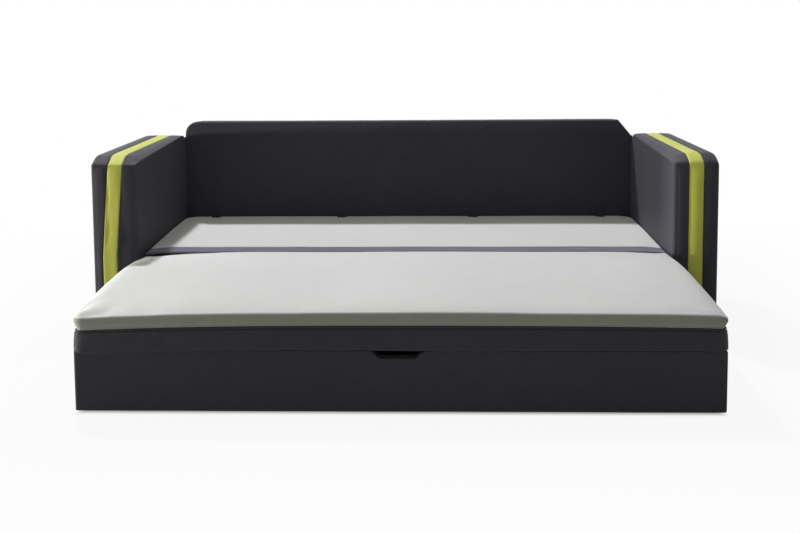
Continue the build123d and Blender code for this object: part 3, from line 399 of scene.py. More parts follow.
@dataclass(frozen=True)
class Finishes:
    """Every finish of the sofa bed. A rigid one has the name of its slot in the record."""

    upholstery: Cloth = Cloth(
        "charcoal_upholstery", (0.045, 0.0435, 0.051), (0.065, 0.063, 0.074), (0.080, 0.078, 0.090),
        sheen=0.07, sheen_tint=(0.92, 0.92, 1.0), gloss=0.09, roughness=0.5,
    )
    bed_knit: Cloth = Cloth(
        "bed_knit", (0.70, 0.702, 0.655), (0.77, 0.772, 0.725), (0.80, 0.80, 0.75),
        pitch=0.0016, relief=0.00025, sheen=0.15, mottle=0.05,
    )
    # The mattress's band and piping: the bed knit made darker and olive, as painted shade on the
    # mattress's sides.
    bed_border: Cloth = Cloth(
        "bed_border", (0.33, 0.335, 0.27), (0.40, 0.405, 0.335), (0.50, 0.505, 0.44),
        pitch=0.0016, relief=0.00025, sheen=0.1, mottle=0.05,
    )
    lime: Cloth = Cloth(
        "lime_stripe", (0.70, 0.71, 0.085), (0.78, 0.79, 0.15), (0.82, 0.83, 0.28),
        gloss=0.25, roughness=0.5, mottle=0.12,
    )
    # The strip's cloth: the charcoal upholstery lightened to grey-violet, as painted light on the
    # strip's top-lit face.
    strip: Cloth = Cloth(
        "strip_cloth", (0.15, 0.145, 0.18), (0.20, 0.195, 0.235), (0.26, 0.25, 0.29),
        pitch=0.001, sheen=0.55, sheen_tint=(0.9, 0.9, 1.0),
    )
    thread: Cloth = Cloth(
        "charcoal_thread", (0.06, 0.058, 0.066), (0.10, 0.10, 0.11), (0.12, 0.12, 0.13),
        pitch=0.0006, relief=0.0001, roughness=0.6, coordinates=Coordinates.SPACE,
    )
    timber: Timber = Timber("softwood")
    upright_timber: Timber = Timber("softwood_upright", stretch=(26.0, 26.0, 1.2))
    deep_timber: Timber = Timber("softwood_deep", stretch=(26.0, 1.2, 26.0))
    board: Timber = Timber("birch_board", (0.62, 0.46, 0.28), (0.50, 0.34, 0.19), (2.0, 14.0, 14.0))
    zinc_steel: Metal = Metal(
        "zinc_plate", (0.60, 0.61, 0.63), (0.50, 0.50, 0.50),
        metallic=1.0, roughness=0.34, lumps=260.0, relief=0.00005,
    )
    black_steel: Metal = Metal(
        "black_powder_coat", (0.030, 0.030, 0.033), (0.045, 0.045, 0.048),
        metallic=0.0, roughness=0.42, lumps=700.0, relief=0.0002,
    )
    black_plastic: Moulded = Moulded("black_nylon", (0.035, 0.035, 0.04), (0.09, 0.09, 0.095))
    white_plastic: Moulded = Moulded("white_nylon", (0.78, 0.78, 0.75), (0.60, 0.60, 0.57), 0.35)
    dark_rubber: Moulded = Moulded("dark_rubber", (0.045, 0.045, 0.045), (0.13, 0.125, 0.12), 0.75)

    def make(self, finish: Cloth | Timber | Metal | Moulded) -> Material:
        """The finish's material, made the first time that it is asked for."""
        return bpy.data.materials.get(finish.name) or finish.material()


# Shapes


def rise(value: Array, start: float, end: float) -> Array:
    """0 before start, 1 after end, and a straight line between them."""
    return np.clip((value - start) / (end - start), 0, 1)


def travelled(path: Array) -> Array:
    """How long a path is up to each of its points: the sum of the steps before it."""
    return np.r_[0.0, np.cumsum(np.linalg.norm(np.diff(path, axis=0), axis=1))]


def cells(index: Array) -> Array:
    """Make the quads of grids.

    Args:
        index: Point numbers; each grid fills the last two axes.

    Returns:
        The four neighbours round each cell, m x 4.
    """
    below, above = index[..., :-1, :], index[..., 1:, :]
    corners = [below[..., :-1], below[..., 1:], above[..., 1:], above[..., :-1]]
    return np.stack(corners, axis=-1).reshape(-1, 4)


def finer(piece: Object) -> None:
    """Subdivide a piece once, so that its curves are smooth."""
    modifier = piece.modifiers.new("finer", "SUBSURF")
    modifier.levels = modifier.render_levels = 1


def closed_piece(mesh: Mesh, materials: Sequence[Material], reach: float) -> Object:
    """Join a mesh's grids where they meet, turn its faces outwards and make its object.

    Args:
        mesh: The mesh.
        materials: Its materials, in the order of the slots.
        reach: Points closer together than this become one.

    Returns:
        The object, at the origin and named like the mesh.
    """
    shell = bmesh.new()
    shell.from_mesh(mesh)
    bmesh.ops.remove_doubles(shell, verts=shell.verts, dist=reach)
    bmesh.ops.dissolve_degenerate(shell, edges=shell.edges, dist=1e-6)
    bmesh.ops.recalc_face_normals(shell, faces=shell.faces)
    shell.to_mesh(mesh)
    shell.free()
    for material in materials:
        mesh.materials.append(material)
    piece = bpy.data.objects.new(mesh.name, mesh)
    bpy.context.scene.collection.objects.link(piece)
    return piece


class Surface:
    """Grids of points that are gathered into one closed mesh."""

    def __init__(self) -> None:
        """Start with nothing."""
        self._grids: list[tuple[Array, ...]] = []
        self._count = 0

    def grid(
        self, points: Array, chart: Array, slots: Array | int = 0, edge: Array | float = 0.0
    ) -> None:
        """Add a grid of quads.

        Args:
            points: Places, rows x columns x 3.
            chart: Cloth map in metres, rows x columns x 2.
            slots: Material index of each quad, (rows - 1) x (columns - 1), or one for all.
            edge: How worn each point is, rows x columns, or one for all.
        """
        rows, columns = points.shape[:2]
        index = np.arange(rows * columns).reshape(rows, columns) + self._count
        edges = np.broadcast_to(edge, (rows, columns)).ravel()
        indices = np.broadcast_to(slots, (rows - 1, columns - 1)).ravel()
        self._grids.append(
            (points.reshape(-1, 3), chart.reshape(-1, 2), edges, indices, cells(index))
        )
        self._count += rows * columns

    def build(self, name: str, materials: Sequence[Material]) -> Object:
        """Make one closed object of the grids.

        Args:
            name: Name of the object.
            materials: Its materials, in the order of the slots.

        Returns:
            The object, at the origin.
        """
        points, chart, edges, slots, quads = map(np.concatenate, zip(*self._grids))
        mesh = bpy.data.meshes.new(name)
        mesh.from_pydata(points.tolist(), [], quads.tolist())
        layer = mesh.uv_layers.new(name="cloth")
        layer.data.foreach_set("uv", chart[quads.ravel()].ravel())
        edge = mesh.attributes.new("edge", "FLOAT", "POINT")
        edge.data.foreach_set("value", edges.astype(np.float32))
        mesh.polygons.foreach_set("material_index", slots.astype(np.int32))
        mesh.polygons.foreach_set("use_smooth", np.ones(len(quads), bool))
        return closed_piece(mesh, materials, 2e-5)


@dataclass(frozen=True)
class Corner:
    """A corner of a flat outline: its place, and the radius that rounds it."""

    across: float
    along: float
    radius: float


@dataclass
class Outline:
    """A closed outline with rounded corners, counter-clockwise, cut into four sides.

    Stations are spread evenly over length plus a share of the angle turned, so that they crowd
    where the outline bends. Across and along are the counts on opposite sides, and quarters are
    the corners where the sides start.
    """

    corners: Sequence[Corner]
    quarters: tuple[int, int, int, int]
    across: int
    along: int
    bend_share: float = 0.05
    arc_steps: int = 10

    @classmethod
    def box(cls, across: Span, along: Span, radii: Span, *spread: float) -> Outline:
        """Make a box's outline.

        Args:
            across: Its two ends across.
            along: Its two ends along.
            radii: The corners' radius at the low end of along, and at its high end.
            spread: Stations across and along, and the share of the angle if it isn't the usual.

        Returns:
            The outline.
        """
        (left, right), (low, high), (near, far) = across, along, radii
        corners = (
            Corner(left, low, near),
            Corner(right, low, near),
            Corner(right, high, far),
            Corner(left, high, far),
        )
        return cls(corners, (0, 1, 2, 3), *spread)

    def _dense(self) -> tuple[Array, Array, list[float]]:
        """Lay points round each corner's arc.

        Returns:
            The points, with the first repeated; their weighted distance round the outline; and
            the distance of each arc's middle.
        """
        places = np.array([(c.across, c.along) for c in self.corners])
        points, turned = [], []
        for index, corner in enumerate(self.corners):
            here, before = places[index], places[index - 1]
            after = places[(index + 1) % len(places)]
            inward = (here - before) / np.linalg.norm(here - before)
            outward = (after - here) / np.linalg.norm(after - here)
            cross = inward[0] * outward[1] - inward[1] * outward[0]
            angle = np.arctan2(cross, float(inward @ outward))
            reach = corner.radius * np.tan(abs(angle) / 2)
            normal = np.array([-inward[1], inward[0]]) * np.sign(angle)
            centre = here - inward * reach + normal * corner.radius
            sweep = np.linspace(0, 1, self.arc_steps + 1)[:, None] * abs(angle)
            points.append(centre + corner.radius * (np.sin(sweep) * inward - np.cos(sweep) * normal))
            turned.append(np.r_[0.0, np.full(self.arc_steps, abs(angle) / self.arc_steps)])
        line, bends = np.concatenate(points), np.concatenate(turned)
        line, bends = np.vstack([line, line[:1]]), np.append(bends, 0.0)
        steps = np.linalg.norm(np.diff(line, axis=0), axis=1) + self.bend_share * bends[1:]
        distance = np.r_[0.0, np.cumsum(steps)]
        first, size = self.arc_steps // 2, self.arc_steps + 1
        return line, distance, distance[first :: size][: len(places)].tolist()

    def loop(self) -> tuple[Array, Array, Array]:
        """Work out the outline.

        Returns:
            Points and outward normals, n + 1 x 2 with the first repeated, and the length so far.
        """
        line, distance, middles = self._dense()
        total = distance[-1]
        starts = [middles[index] for index in self.quarters]
        ends = [*starts[1:], starts[0] + total]
        counts = (self.across, self.along, self.across, self.along)
        sides = [
            np.linspace(start, end if end > start else end + total, count, endpoint=False)
            for start, end, count in zip(starts, ends, counts)
        ]
        stations = np.concatenate(sides)
        stations = np.mod(np.append(stations, stations[0]), total)
        points = np.stack([np.interp(stations, distance, line[:, k]) for k in (0, 1)], axis=-1)
        ring = points[:-1]
        run = np.roll(ring, -1, axis=0) - np.roll(ring, 1, axis=0)
        run /= np.linalg.norm(run, axis=1, keepdims=True)
        normals = np.stack([run[:, 1], -run[:, 0]], axis=-1)
        return points, np.vstack([normals, normals[:1]]), travelled(points)

    def fill(self, ring: Array) -> Array:
        """Fill the outline with a grid whose border is ring: a Coons patch, which adds the two
        ways of joining opposite sides by straight lines and takes off the one that joins the
        corners.

        Args:
            ring: The border, n + 1 x 2.

        Returns:
            The grid, along + 1 x across + 1 x 2.
        """
        a, b = self.across, self.along
        bottom, right = ring[: a + 1], ring[a : a + b + 1]
        top, left = ring[a + b : 2 * a + b + 1][::-1], ring[2 * a + b :][::-1]
        u, v = np.linspace(0, 1, a + 1)[None, :, None], np.linspace(0, 1, b + 1)[:, None, None]
        ruled = (1 - v) * bottom[None] + v * top[None] + (1 - u) * left[:, None] + u * right[:, None]
        corners = (1 - v) * ((1 - u) * bottom[0] + u * bottom[-1])
        corners = corners + v * ((1 - u) * top[0] + u * top[-1])
        return ruled - corners


@dataclass(frozen=True)
class Groove:
    """A sewn groove round the band: its height on the band, width and depth."""

    height: float
    width: float
    depth: float


@dataclass
class Slab:
    """A padded slab: two faces of one outline, joined by a rounded band.

    The band's section is a quarter round at each face and a shallow arc between them, less its
    sewn grooves, and stands out by lean at its low face. Each face rises from its border by crown
    times (1 - exp(-d / fade)) for the distance d to each pair of sides. Cloth is worn within
    about wear of the band's edges, and by border_wear along a face's border.
    """

    outline: Outline
    low: float
    high: float
    round_low: float
    round_high: float
    swell: float = 0.0
    lean: float = 0.0
    crown_low: float = 0.0
    crown_high: float = 0.0
    fade: float = 0.08
    rows: int = 8
    grooves: tuple[Groove, ...] = ()
    round_steps: int = 4
    wear: float = 0.008
    border_wear: float = 0.8

    def section(self) -> tuple[Array, Array]:
        """The band's section.

        Returns:
            How far each row stands out of the outline, and its height across the slab.
        """
        height = self.high - self.low
        start, end = self.round_low, height - self.round_high
        marks = [np.linspace(start, end, self.rows + 1)]
        for groove in self.grooves:
            half = groove.width / 2
            marks.append(groove.height + half * np.array([-1.6, -1.0, 0.0, 1.0, 1.6]))
        straight = np.unique(np.round(np.concatenate(marks), 6))
        straight = straight[(straight >= start) & (straight <= end)]
        share = (straight - start) / max(height - self.round_low - self.round_high, 1e-6)
        out = self.swell * 4 * share * (1 - share)
        for groove in self.grooves:
            near = np.clip(1 - np.abs(straight - groove.height) / (groove.width / 2), 0, 1)
            out = out - groove.depth * near
        out = out + self.lean * (1 - share)
        sweep = np.linspace(0, np.pi / 2, self.round_steps + 1)[:-1]
        back = sweep[::-1]
        low_out = self.lean - self.round_low * (1 - np.sin(sweep))
        low_up = self.round_low * (1 - np.cos(sweep))
        high_out = -self.round_high * (1 - np.sin(back))
        high_up = height - self.round_high * (1 - np.cos(back))
        return np.r_[low_out, out, high_out], self.low + np.r_[low_up, straight, high_up]

    def _face(self, ring: Array, height: float, crown: float) -> Array:
        """Work out a face.

        Args:
            ring: Its border, n + 1 x 2.
            height: The border's height.
            crown: How far its middle rises over the border.

        Returns:
            The grid of (across, along, height).
        """
        flat = self.outline.fill(ring)
        b, a = flat.shape[:2]
        size = ring.max(0) - ring.min(0)
        u = np.minimum(np.linspace(0, 1, a), np.linspace(1, 0, a)) * size[0]
        v = np.minimum(np.linspace(0, 1, b), np.linspace(1, 0, b)) * size[1]
        swell = (1 - np.exp(-u / self.fade))[None] * (1 - np.exp(-v / self.fade))[:, None]
        return np.dstack([flat, height + crown * swell])

    def surface(self, warp: Warp, slots: Callable[[Array, Array], Array] | None = None) -> Surface:
        """Work out both faces and the band.

        Args:
            warp: Takes the slab's points to places in the room.
            slots: Gives each band quad's material from its outline point and height.

        Returns:
            The surface.
        """
        points, normals, length = self.outline.loop()
        out, up = self.section()
        band = points[None] + normals[None] * out[:, None, None]
        band = np.dstack([band, np.broadcast_to(up[:, None], band.shape[:2])])
        drop = np.r_[0.0, np.cumsum(np.hypot(np.diff(out), np.diff(up)))]
        chart = np.stack(np.meshgrid(length, drop), axis=-1)
        near_low, near_high = (
            np.exp(-((gap / self.wear) ** 2)) for gap in (up - self.low, self.high - up)
        )
        worn = near_low + near_high
        index: Array | int = 0
        if slots is not None:
            middle = (band[:-1, :-1] + band[1:, 1:]) / 2
            index = slots(middle[..., :2], middle[..., 2])
        made = Surface()
        made.grid(warp(band), chart, index, np.broadcast_to(worn[:, None], band.shape[:2]))
        for row, height, crown in ((0, self.low, -self.crown_low), (-1, self.high, self.crown_high)):
            face = self._face(band[row, :, :2], height, crown)
            border = np.full(face.shape[:2], self.border_wear)
            border[1:-1, 1:-1] = 0.0
            made.grid(warp(face), face[..., :2], 0, border)
        return made

    def line(self, out: float, height: float, part: slice = slice(None)) -> Array:
        """A line round the band, out from the outline and at this height: n x 3."""
        points, normals, _ = self.outline.loop()
        flat = (points + normals * out)[part]
        return np.column_stack([flat, np.full(len(flat), height)])


@dataclass(frozen=True)
class Ripple:
    """A faint wave of cloth: height times the sine of across x pace + up x climb + phase."""

    height: float
    pace: float
    phase: float = 0.0
    climb: float = 0.0

    def at(self, across: Array, up: Array | float = 0.0) -> Array:
        """The wave's height at each place."""
        return self.height * np.sin(across * self.pace + up * self.climb + self.phase)


def tube(path: Array, radius: float, sides: int, closed: bool) -> tuple[Array, Array]:
    """A round tube along a path.

    Each ring lies in the plane of the sideways and upward directions of the path, where sideways
    is the path's direction crossed with the axis that it follows least.

    Args:
        path: The middle line, n x 3.
        radius: The tube's radius.
        sides: Points in a ring.
        closed: True if the path's last point is its first.

    Returns:
        The grid of points, n x sides + 1 x 3, and its cloth map.
    """
    run = np.gradient(path, axis=0)
    if closed:
        run[0] = run[-1] = path[1] - path[-2]
    run /= np.linalg.norm(run, axis=1, keepdims=True)
    helper = np.eye(3)[np.argmin(np.abs(run).mean(0))]
    side = np.cross(run, helper)
    side /= np.linalg.norm(side, axis=1, keepdims=True)
    upward = np.cross(side, run)
    angle = np.linspace(0, 2 * np.pi, sides + 1)
    ring = np.cos(angle)[:, None] * side[:, None] + np.sin(angle)[:, None] * upward[:, None]
    chart = np.stack(np.meshgrid(angle * radius, travelled(path)), axis=-1)
    return path[:, None] + radius * ring, chart


@dataclass(frozen=True)
class Piping:
    """A round cord in a sleeve of cloth, sewn along an edge."""

    radius: float
    sides: int = 8
    wear: float = 0.5

    def make(self, name: str, path: Array, material: Material, closed: bool = False) -> Object:
        """Sweep the cord along a path.

        Args:
            name: The piece's name.
            path: The middle line, n x 3.
            material: Its cloth.
            closed: True if it runs all round.

        Returns:
            The object.
        """
        points, chart = tube(path, self.radius, self.sides, closed)
        made = Surface()
        made.grid(points, chart, 0, self.wear)
        if not closed:
            for end, centre in ((points[:1], path[:1]), (points[-1:], path[-1:])):
                cap = np.concatenate([end, np.broadcast_to(centre[:, None], end.shape)])
                made.grid(cap, np.zeros((2, end.shape[1], 2)), 0, self.wear)
        return made.build(name, [material])


@dataclass(frozen=True)
class Stitching:
    """A row of lock stitches: short thread loops that dip and thin to a taper at both ends."""

    pitch: float = 0.007
    gap: float = 0.0022
    radius: float = 0.0005
    lift: float = 0.0006
    taper: float = 0.15

    def make(self, name: str, path: Array, outward: Array, material: Material) -> Object:
        """Lay stitches along a path.

        A stitch is a tube of four sides along five stations; its height over the cloth is lift
        times the sine of the share of its length.

        Args:
            name: The piece's name.
            path: Points along the seam, n x 3.
            outward: Direction away from the cloth at each point, n x 3.
            material: The thread.

        Returns:
            The object.
        """
        length = travelled(path)
        share = np.linspace(0, 1, 5)
        start = np.arange(int(length[-1] // self.pitch))[:, None] * self.pitch + self.gap / 2
        reach = start + share[None] * (self.pitch - self.gap)
        middle, away = (
            np.stack([np.interp(reach, length, line[:, k]) for k in range(3)], axis=-1)
            for line in (path, outward)
        )
        away /= np.linalg.norm(away, axis=-1, keepdims=True)
        run = middle[:, -1:] - middle[:, :1]
        run /= np.linalg.norm(run, axis=-1, keepdims=True)
        side = np.cross(run, away)
        middle = middle + away * (self.lift * np.sin(np.pi * share))[:, None]
        angle = np.linspace(0, 2 * np.pi, 5)[:, None]
        thick = self.radius * np.array([self.taper, 1.0, 1.0, 1.0, self.taper])
        ring = np.cos(angle) * side[:, :, None] + np.sin(angle) * away[:, :, None]
        points = middle[:, :, None] + thick[:, None, None] * ring
        index = np.arange(points[..., 0].size).reshape(points.shape[:3])
        faces = np.concatenate([cells(index), index[:, 0, 3::-1], index[:, -1, :4]])
        mesh = bpy.data.meshes.new(name)
        mesh.from_pydata(points.reshape(-1, 3).tolist(), [], faces.tolist())
        return closed_piece(mesh, [material], 1e-6)


@dataclass(frozen=True)
class Filling:
    """How a cover swells over its filling: gas pressure on cloth, with each point's move capped.

    Points that are less free than still don't take part in the simulation.
    """

    cap: float
    slack: float
    pressure: float = 4.0
    frames: int = 20
    stiffness: float = 12.0
    bending: float = 3.0
    damping: float = 15.0
    still: float = 0.02

    def swell(self, piece: Object, hold: Hold) -> None:
        """Run the cloth and keep the capped result in the piece's mesh.

        A point moves by cap times the hyperbolic tangent of its own move over cap.

        Args:
            piece: The closed cover.
            hold: Gives how freely each of its points may move.
        """
        mesh = piece.data
        rest = self._places(mesh)
        free = np.broadcast_to(hold(rest), rest.shape)
        move = self._settle(piece, free) - rest
        size = np.linalg.norm(move, axis=1, keepdims=True)
        move *= np.tanh(size / self.cap) * self.cap / np.maximum(size, 1e-9)
        mesh.vertices.foreach_set("co", (rest + move * free).astype(np.float32).ravel())
        mesh.update()
        finer(piece)

    def _places(self, mesh: Mesh) -> Array:
        """The mesh's points, n x 3."""
        places = np.empty(len(mesh.vertices) * 3, np.float32)
        mesh.vertices.foreach_get("co", places)
        return places.reshape(-1, 3).astype(float)

    def _settle(self, piece: Object, free: Array) -> Array:
        """Run the cloth.

        Args:
            piece: The closed cover.
            free: How freely its points may move, n x 3.

        Returns:
            Where the points come to rest, n x 3.
        """
        scene = bpy.context.scene
        still = piece.vertex_groups.new(name="still")
        for index in np.flatnonzero(free.max(axis=1) < self.still).tolist():
            still.add([index], 1.0, "REPLACE")
        cloth = piece.modifiers.new("cloth", "CLOTH")
        rules = cloth.settings
        rules.quality = 4
        rules.mass = 0.25
        rules.tension_stiffness = rules.compression_stiffness = self.stiffness
        rules.shear_stiffness = self.stiffness / 2
        rules.bending_stiffness = self.bending
        rules.tension_damping = rules.compression_damping = self.damping
        rules.shrink_min = -self.slack
        rules.use_pressure = True
        rules.uniform_pressure_force = self.pressure
        rules.vertex_group_mass = still.name
        rules.effector_weights.gravity = 0.0
        cloth.collision_settings.use_collision = False
        cloth.collision_settings.use_self_collision = False
        cloth.point_cache.frame_start, cloth.point_cache.frame_end = 1, self.frames
        for step in range(1, self.frames + 1):
            scene.frame_set(step)
        settled = piece.evaluated_get(bpy.context.evaluated_depsgraph_get())
        places = self._places(settled.data)
        piece.modifiers.remove(cloth)
        piece.vertex_groups.remove(still)
        scene.frame_set(1)
        return places


# Sub-assemblies


class Side(Enum):
    """Which arm, seen from the front."""

    LEFT = -1
    RIGHT = 1

    @property
    def word(self) -> str:
        """The side's name in the nodes' names."""
        return self.name.lower()


@dataclass(frozen=True)
class Room:
    """The box of a CAD node, as the span along each axis."""

    x: Span
    y: Span
    z: Span

    @classmethod
    def of(cls, node: str) -> Room:
        """The box of this node."""
        low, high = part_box(node)
        return cls(*zip(low, high))


@dataclass
class Assembly:
    """What every sub-assembly shares: the finishes, and the body that its pieces ride on.

    Near is how close to a held border a swelling cover is still held back.
    """

    finishes: Finishes
    body: str
    near: ClassVar[float] = 0.02

    @property
    def charcoal(self) -> Material:
        """The dark cloth."""
        return self.finishes.make(self.finishes.upholstery)

    def settle(
        self, piece: Object, *nodes: str, slot: str = CHARCOAL_SLOT, fill: float | None = None
    ) -> None:
        """Put a piece on its body.

        Args:
            piece: The piece.
            nodes: Nodes of the frame that it stands for.
            slot: The record's material slot. Not used.
            fill: How full it is, for a padded piece. Not used.
        """
        if nodes:
            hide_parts(*nodes)
        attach(piece, self.body)
        log.info("%s: %d faces on %s", piece.name, len(piece.data.polygons), self.body)

    def sew(self, slab: Slab, warp: Warp, out: float, rows: dict[str, float]) -> None:
        """Sew stitches round a slab's band, from one foot over the top to the other.

        Args:
            slab: The slab.
            warp: Takes its points to places in the room.
            out: How far the seam stands out of the outline.
            rows: The name of each row of stitches, and its height on the slab.
        """
        a, b = slab.outline.across, slab.outline.along
        around = slice(a, 2 * a + 2 * b + 1)
        normals = slab.outline.loop()[1][around]
        outward = warp(np.column_stack([normals, np.zeros(len(normals))]))
        thread = self.finishes.make(self.finishes.thread)
        for name, height in rows.items():
            path = warp(slab.line(out, height, around))
            self.settle(Stitching().make(name, path, outward, thread))


@dataclass
class Arm(Assembly):
    """One upholstered arm: an arched slab with a coloured stripe round its band.

    Slope is the run and the drop of the top's front end, and slope_radii round it above and
    below. On the front the stripe starts inwards of the middle by slant_start and drifts outwards
    by slant over the upper slant_length, fading out over slant_reach behind the front. The top's
    inner edge slumps evenly over slump_width, up to slump_end before the rear.
    """

    side: Side = Side.LEFT
    foot_corner: float = 0.014
    rear_corner: float = 0.045
    slope: Span = (0.055, 0.026)
    slope_radii: Span = (0.080, 0.012)
    edge: float = 0.012
    edge_seam: float = 0.0165
    edge_groove: Span = (0.003, 0.0012)
    stripe: float = 0.050
    stripe_groove: Span = (0.005, 0.003)
    stripe_foot: float = 0.004
    slant: float = 0.0
    slant_start: float = 0.0
    slant_length: float = 0.36
    slant_reach: Span = (0.01, 0.12)
    slump: float = 0.020
    slump_width: float = 0.055
    slump_top: float = 0.004
    slump_end: float = 0.06
    stitch_gap: float = 0.0055
    stitch_out: float = 0.0016
    joint_cord: float = 0.0045
    joint_out: float = 0.0015
    joint_below_top: Span = (0.42, 0.012)
    joint_points: int = 30
    welt: float = 0.0018
    welt_place: Span = (-0.0012, 0.0022)
    seam_reach: float = 0.006
    inner_reach: float = 0.008

    def __post_init__(self) -> None:
        """Take the arm's size from its cover."""
        room = Room.of(f"arm_cover_{self.side.word}")
        self.inner, self.outer = sorted(abs(x) for x in room.x)
        (self.front, self.rear), (self.bottom, self.top) = room.y, room.z
        self.wide = self.outer - self.inner
        self.middle = (self.inner + self.outer) / 2

    def build(self) -> None:
        """Make the upholstery, its stitches and its cords."""
        slab, name = self._slab(), self.side.word
        cloth = [self.charcoal, self.finishes.make(self.finishes.lime)]
        piece = slab.surface(self._warp, self._slots).build(f"arm_upholstery_{name}", cloth)
        Filling(cap=0.003, slack=0.002).swell(piece, self._hold)
        self.settle(piece, f"arm_cover_{name}", f"arm_stripe_{name}", fill=0.9)
        beside = self.stripe / 2 + self.stitch_gap
        rows = {
            f"arm_stitches_{name}_{index}": self.middle + turn * beside
            for index, turn in enumerate((-1, 1))
        }
        self.sew(slab, self._warp, self.stitch_out, rows)
        self._joint_cord()
        if self.side is Side.LEFT:
            self._welt(slab)

    def _slab(self) -> Slab:
        """The arm's shape: across is Y, along is Z, and height runs from the seat outwards."""
        (run, drop), (upper, lower) = self.slope, self.slope_radii
        corners = (
            Corner(self.front, self.bottom, self.foot_corner),
            Corner(self.rear, self.bottom, self.foot_corner),
            Corner(self.rear, self.top, self.rear_corner),
            Corner(self.front + run, self.top, upper),
            Corner(self.front, self.top - drop, lower),
        )
        grooves = (
            Groove((self.wide - self.stripe) / 2, *self.stripe_groove),
            Groove((self.wide + self.stripe) / 2, *self.stripe_groove),
            Groove(self.edge_seam, *self.edge_groove),
            Groove(self.wide - self.edge_seam, *self.edge_groove),
        )
        return Slab(
            Outline(corners, (0, 1, 2, 3), across=40, along=34), self.inner, self.outer,
            round_low=self.edge, round_high=self.edge, swell=0.0015, crown_low=0.0008,
            crown_high=0.003, fade=0.07, rows=12, grooves=grooves,
        )

    def _warp(self, points: Array) -> Array:
        """Slab coordinates to the room, with the stripe's drift and the slump of the top.

        X is the height, turned to the arm's side. The drift is shared by the cloth between the
        stripe and the arm's edges in proportion to its distance from them.
        """
        deep, y, z = points[..., 2], points[..., 0], points[..., 1]
        near = 1 - rise(np.abs(deep - self.middle), self.stripe / 2, self.wide / 2 - self.edge)
        drift = self.slant * rise(-z, -self.top, self.slant_length - self.top) - self.slant_start
        start, end = self.slant_reach
        drift = drift * near * (1 - rise(y, self.front + start, self.front + end))
        inward = 1 - rise(deep, self.inner, self.inner + self.slump_width)
        run, drop = self.slope
        slump = self.slump * inward * rise(z, self.top - drop, self.top - self.slump_top)
        slump = slump * (1 - rise(y, self.front + run, self.rear - self.slump_end))
        return np.stack([self.side.value * (deep + drift), y, z - slump], axis=-1)

    def _slots(self, flat: Array, height: Array) -> Array:
        """The stripe lies between its seams, on the front, top and rear of the band."""
        on_stripe = np.abs(height - self.middle) < self.stripe / 2
        return (on_stripe & (flat[..., 1] > self.bottom + self.stripe_foot)).astype(int)

    def _hold(self, rest: Array) -> Array:
        """Seams, edges and the inner face stay; the rest may puff, more with each mm from them."""
        depth, outer = np.abs(rest[:, 0]) - self.inner, self.wide - 1e-4
        seam = rise(np.abs(np.abs(depth - self.wide / 2) - self.stripe / 2), 0, self.seam_reach)
        free = seam * rise(depth, self.edge, self.edge + self.inner_reach)
        free = free * np.maximum(rise(self.wide - depth, self.edge, self.near), depth > outer)
        return (free * rise(rest[:, 2], self.bottom, self.bottom + self.near))[:, None]

    def _joint_cord(self) -> None:
        """The cord that closes the joint to the back: upright, in the corner of the seat."""
        low, high = (self.top - reach for reach in self.joint_below_top)
        path = np.empty((self.joint_points, 3))
        path[:, 0] = self.side.value * (self.inner + self.joint_out)
        path[:, 1] = self.rear + self.joint_out
        path[:, 2] = np.linspace(low, high, self.joint_points)
        cord = Piping(self.joint_cord)
        self.settle(cord.make(f"joint_cord_{self.side.word}", path, self.charcoal))

    def _welt(self, slab: Slab) -> None:
        """The cord along the inner edge, over the top and a little way down the front."""
        a, b = slab.outline.across, slab.outline.along
        out, off = self.welt_place
        path = slab.line(out, self.inner + off, slice(a + b - 1, 2 * a + b + 8))
        cord = Piping(self.welt)
        self.settle(cord.make(f"arm_welt_{self.side.word}", self._warp(path), self.charcoal))


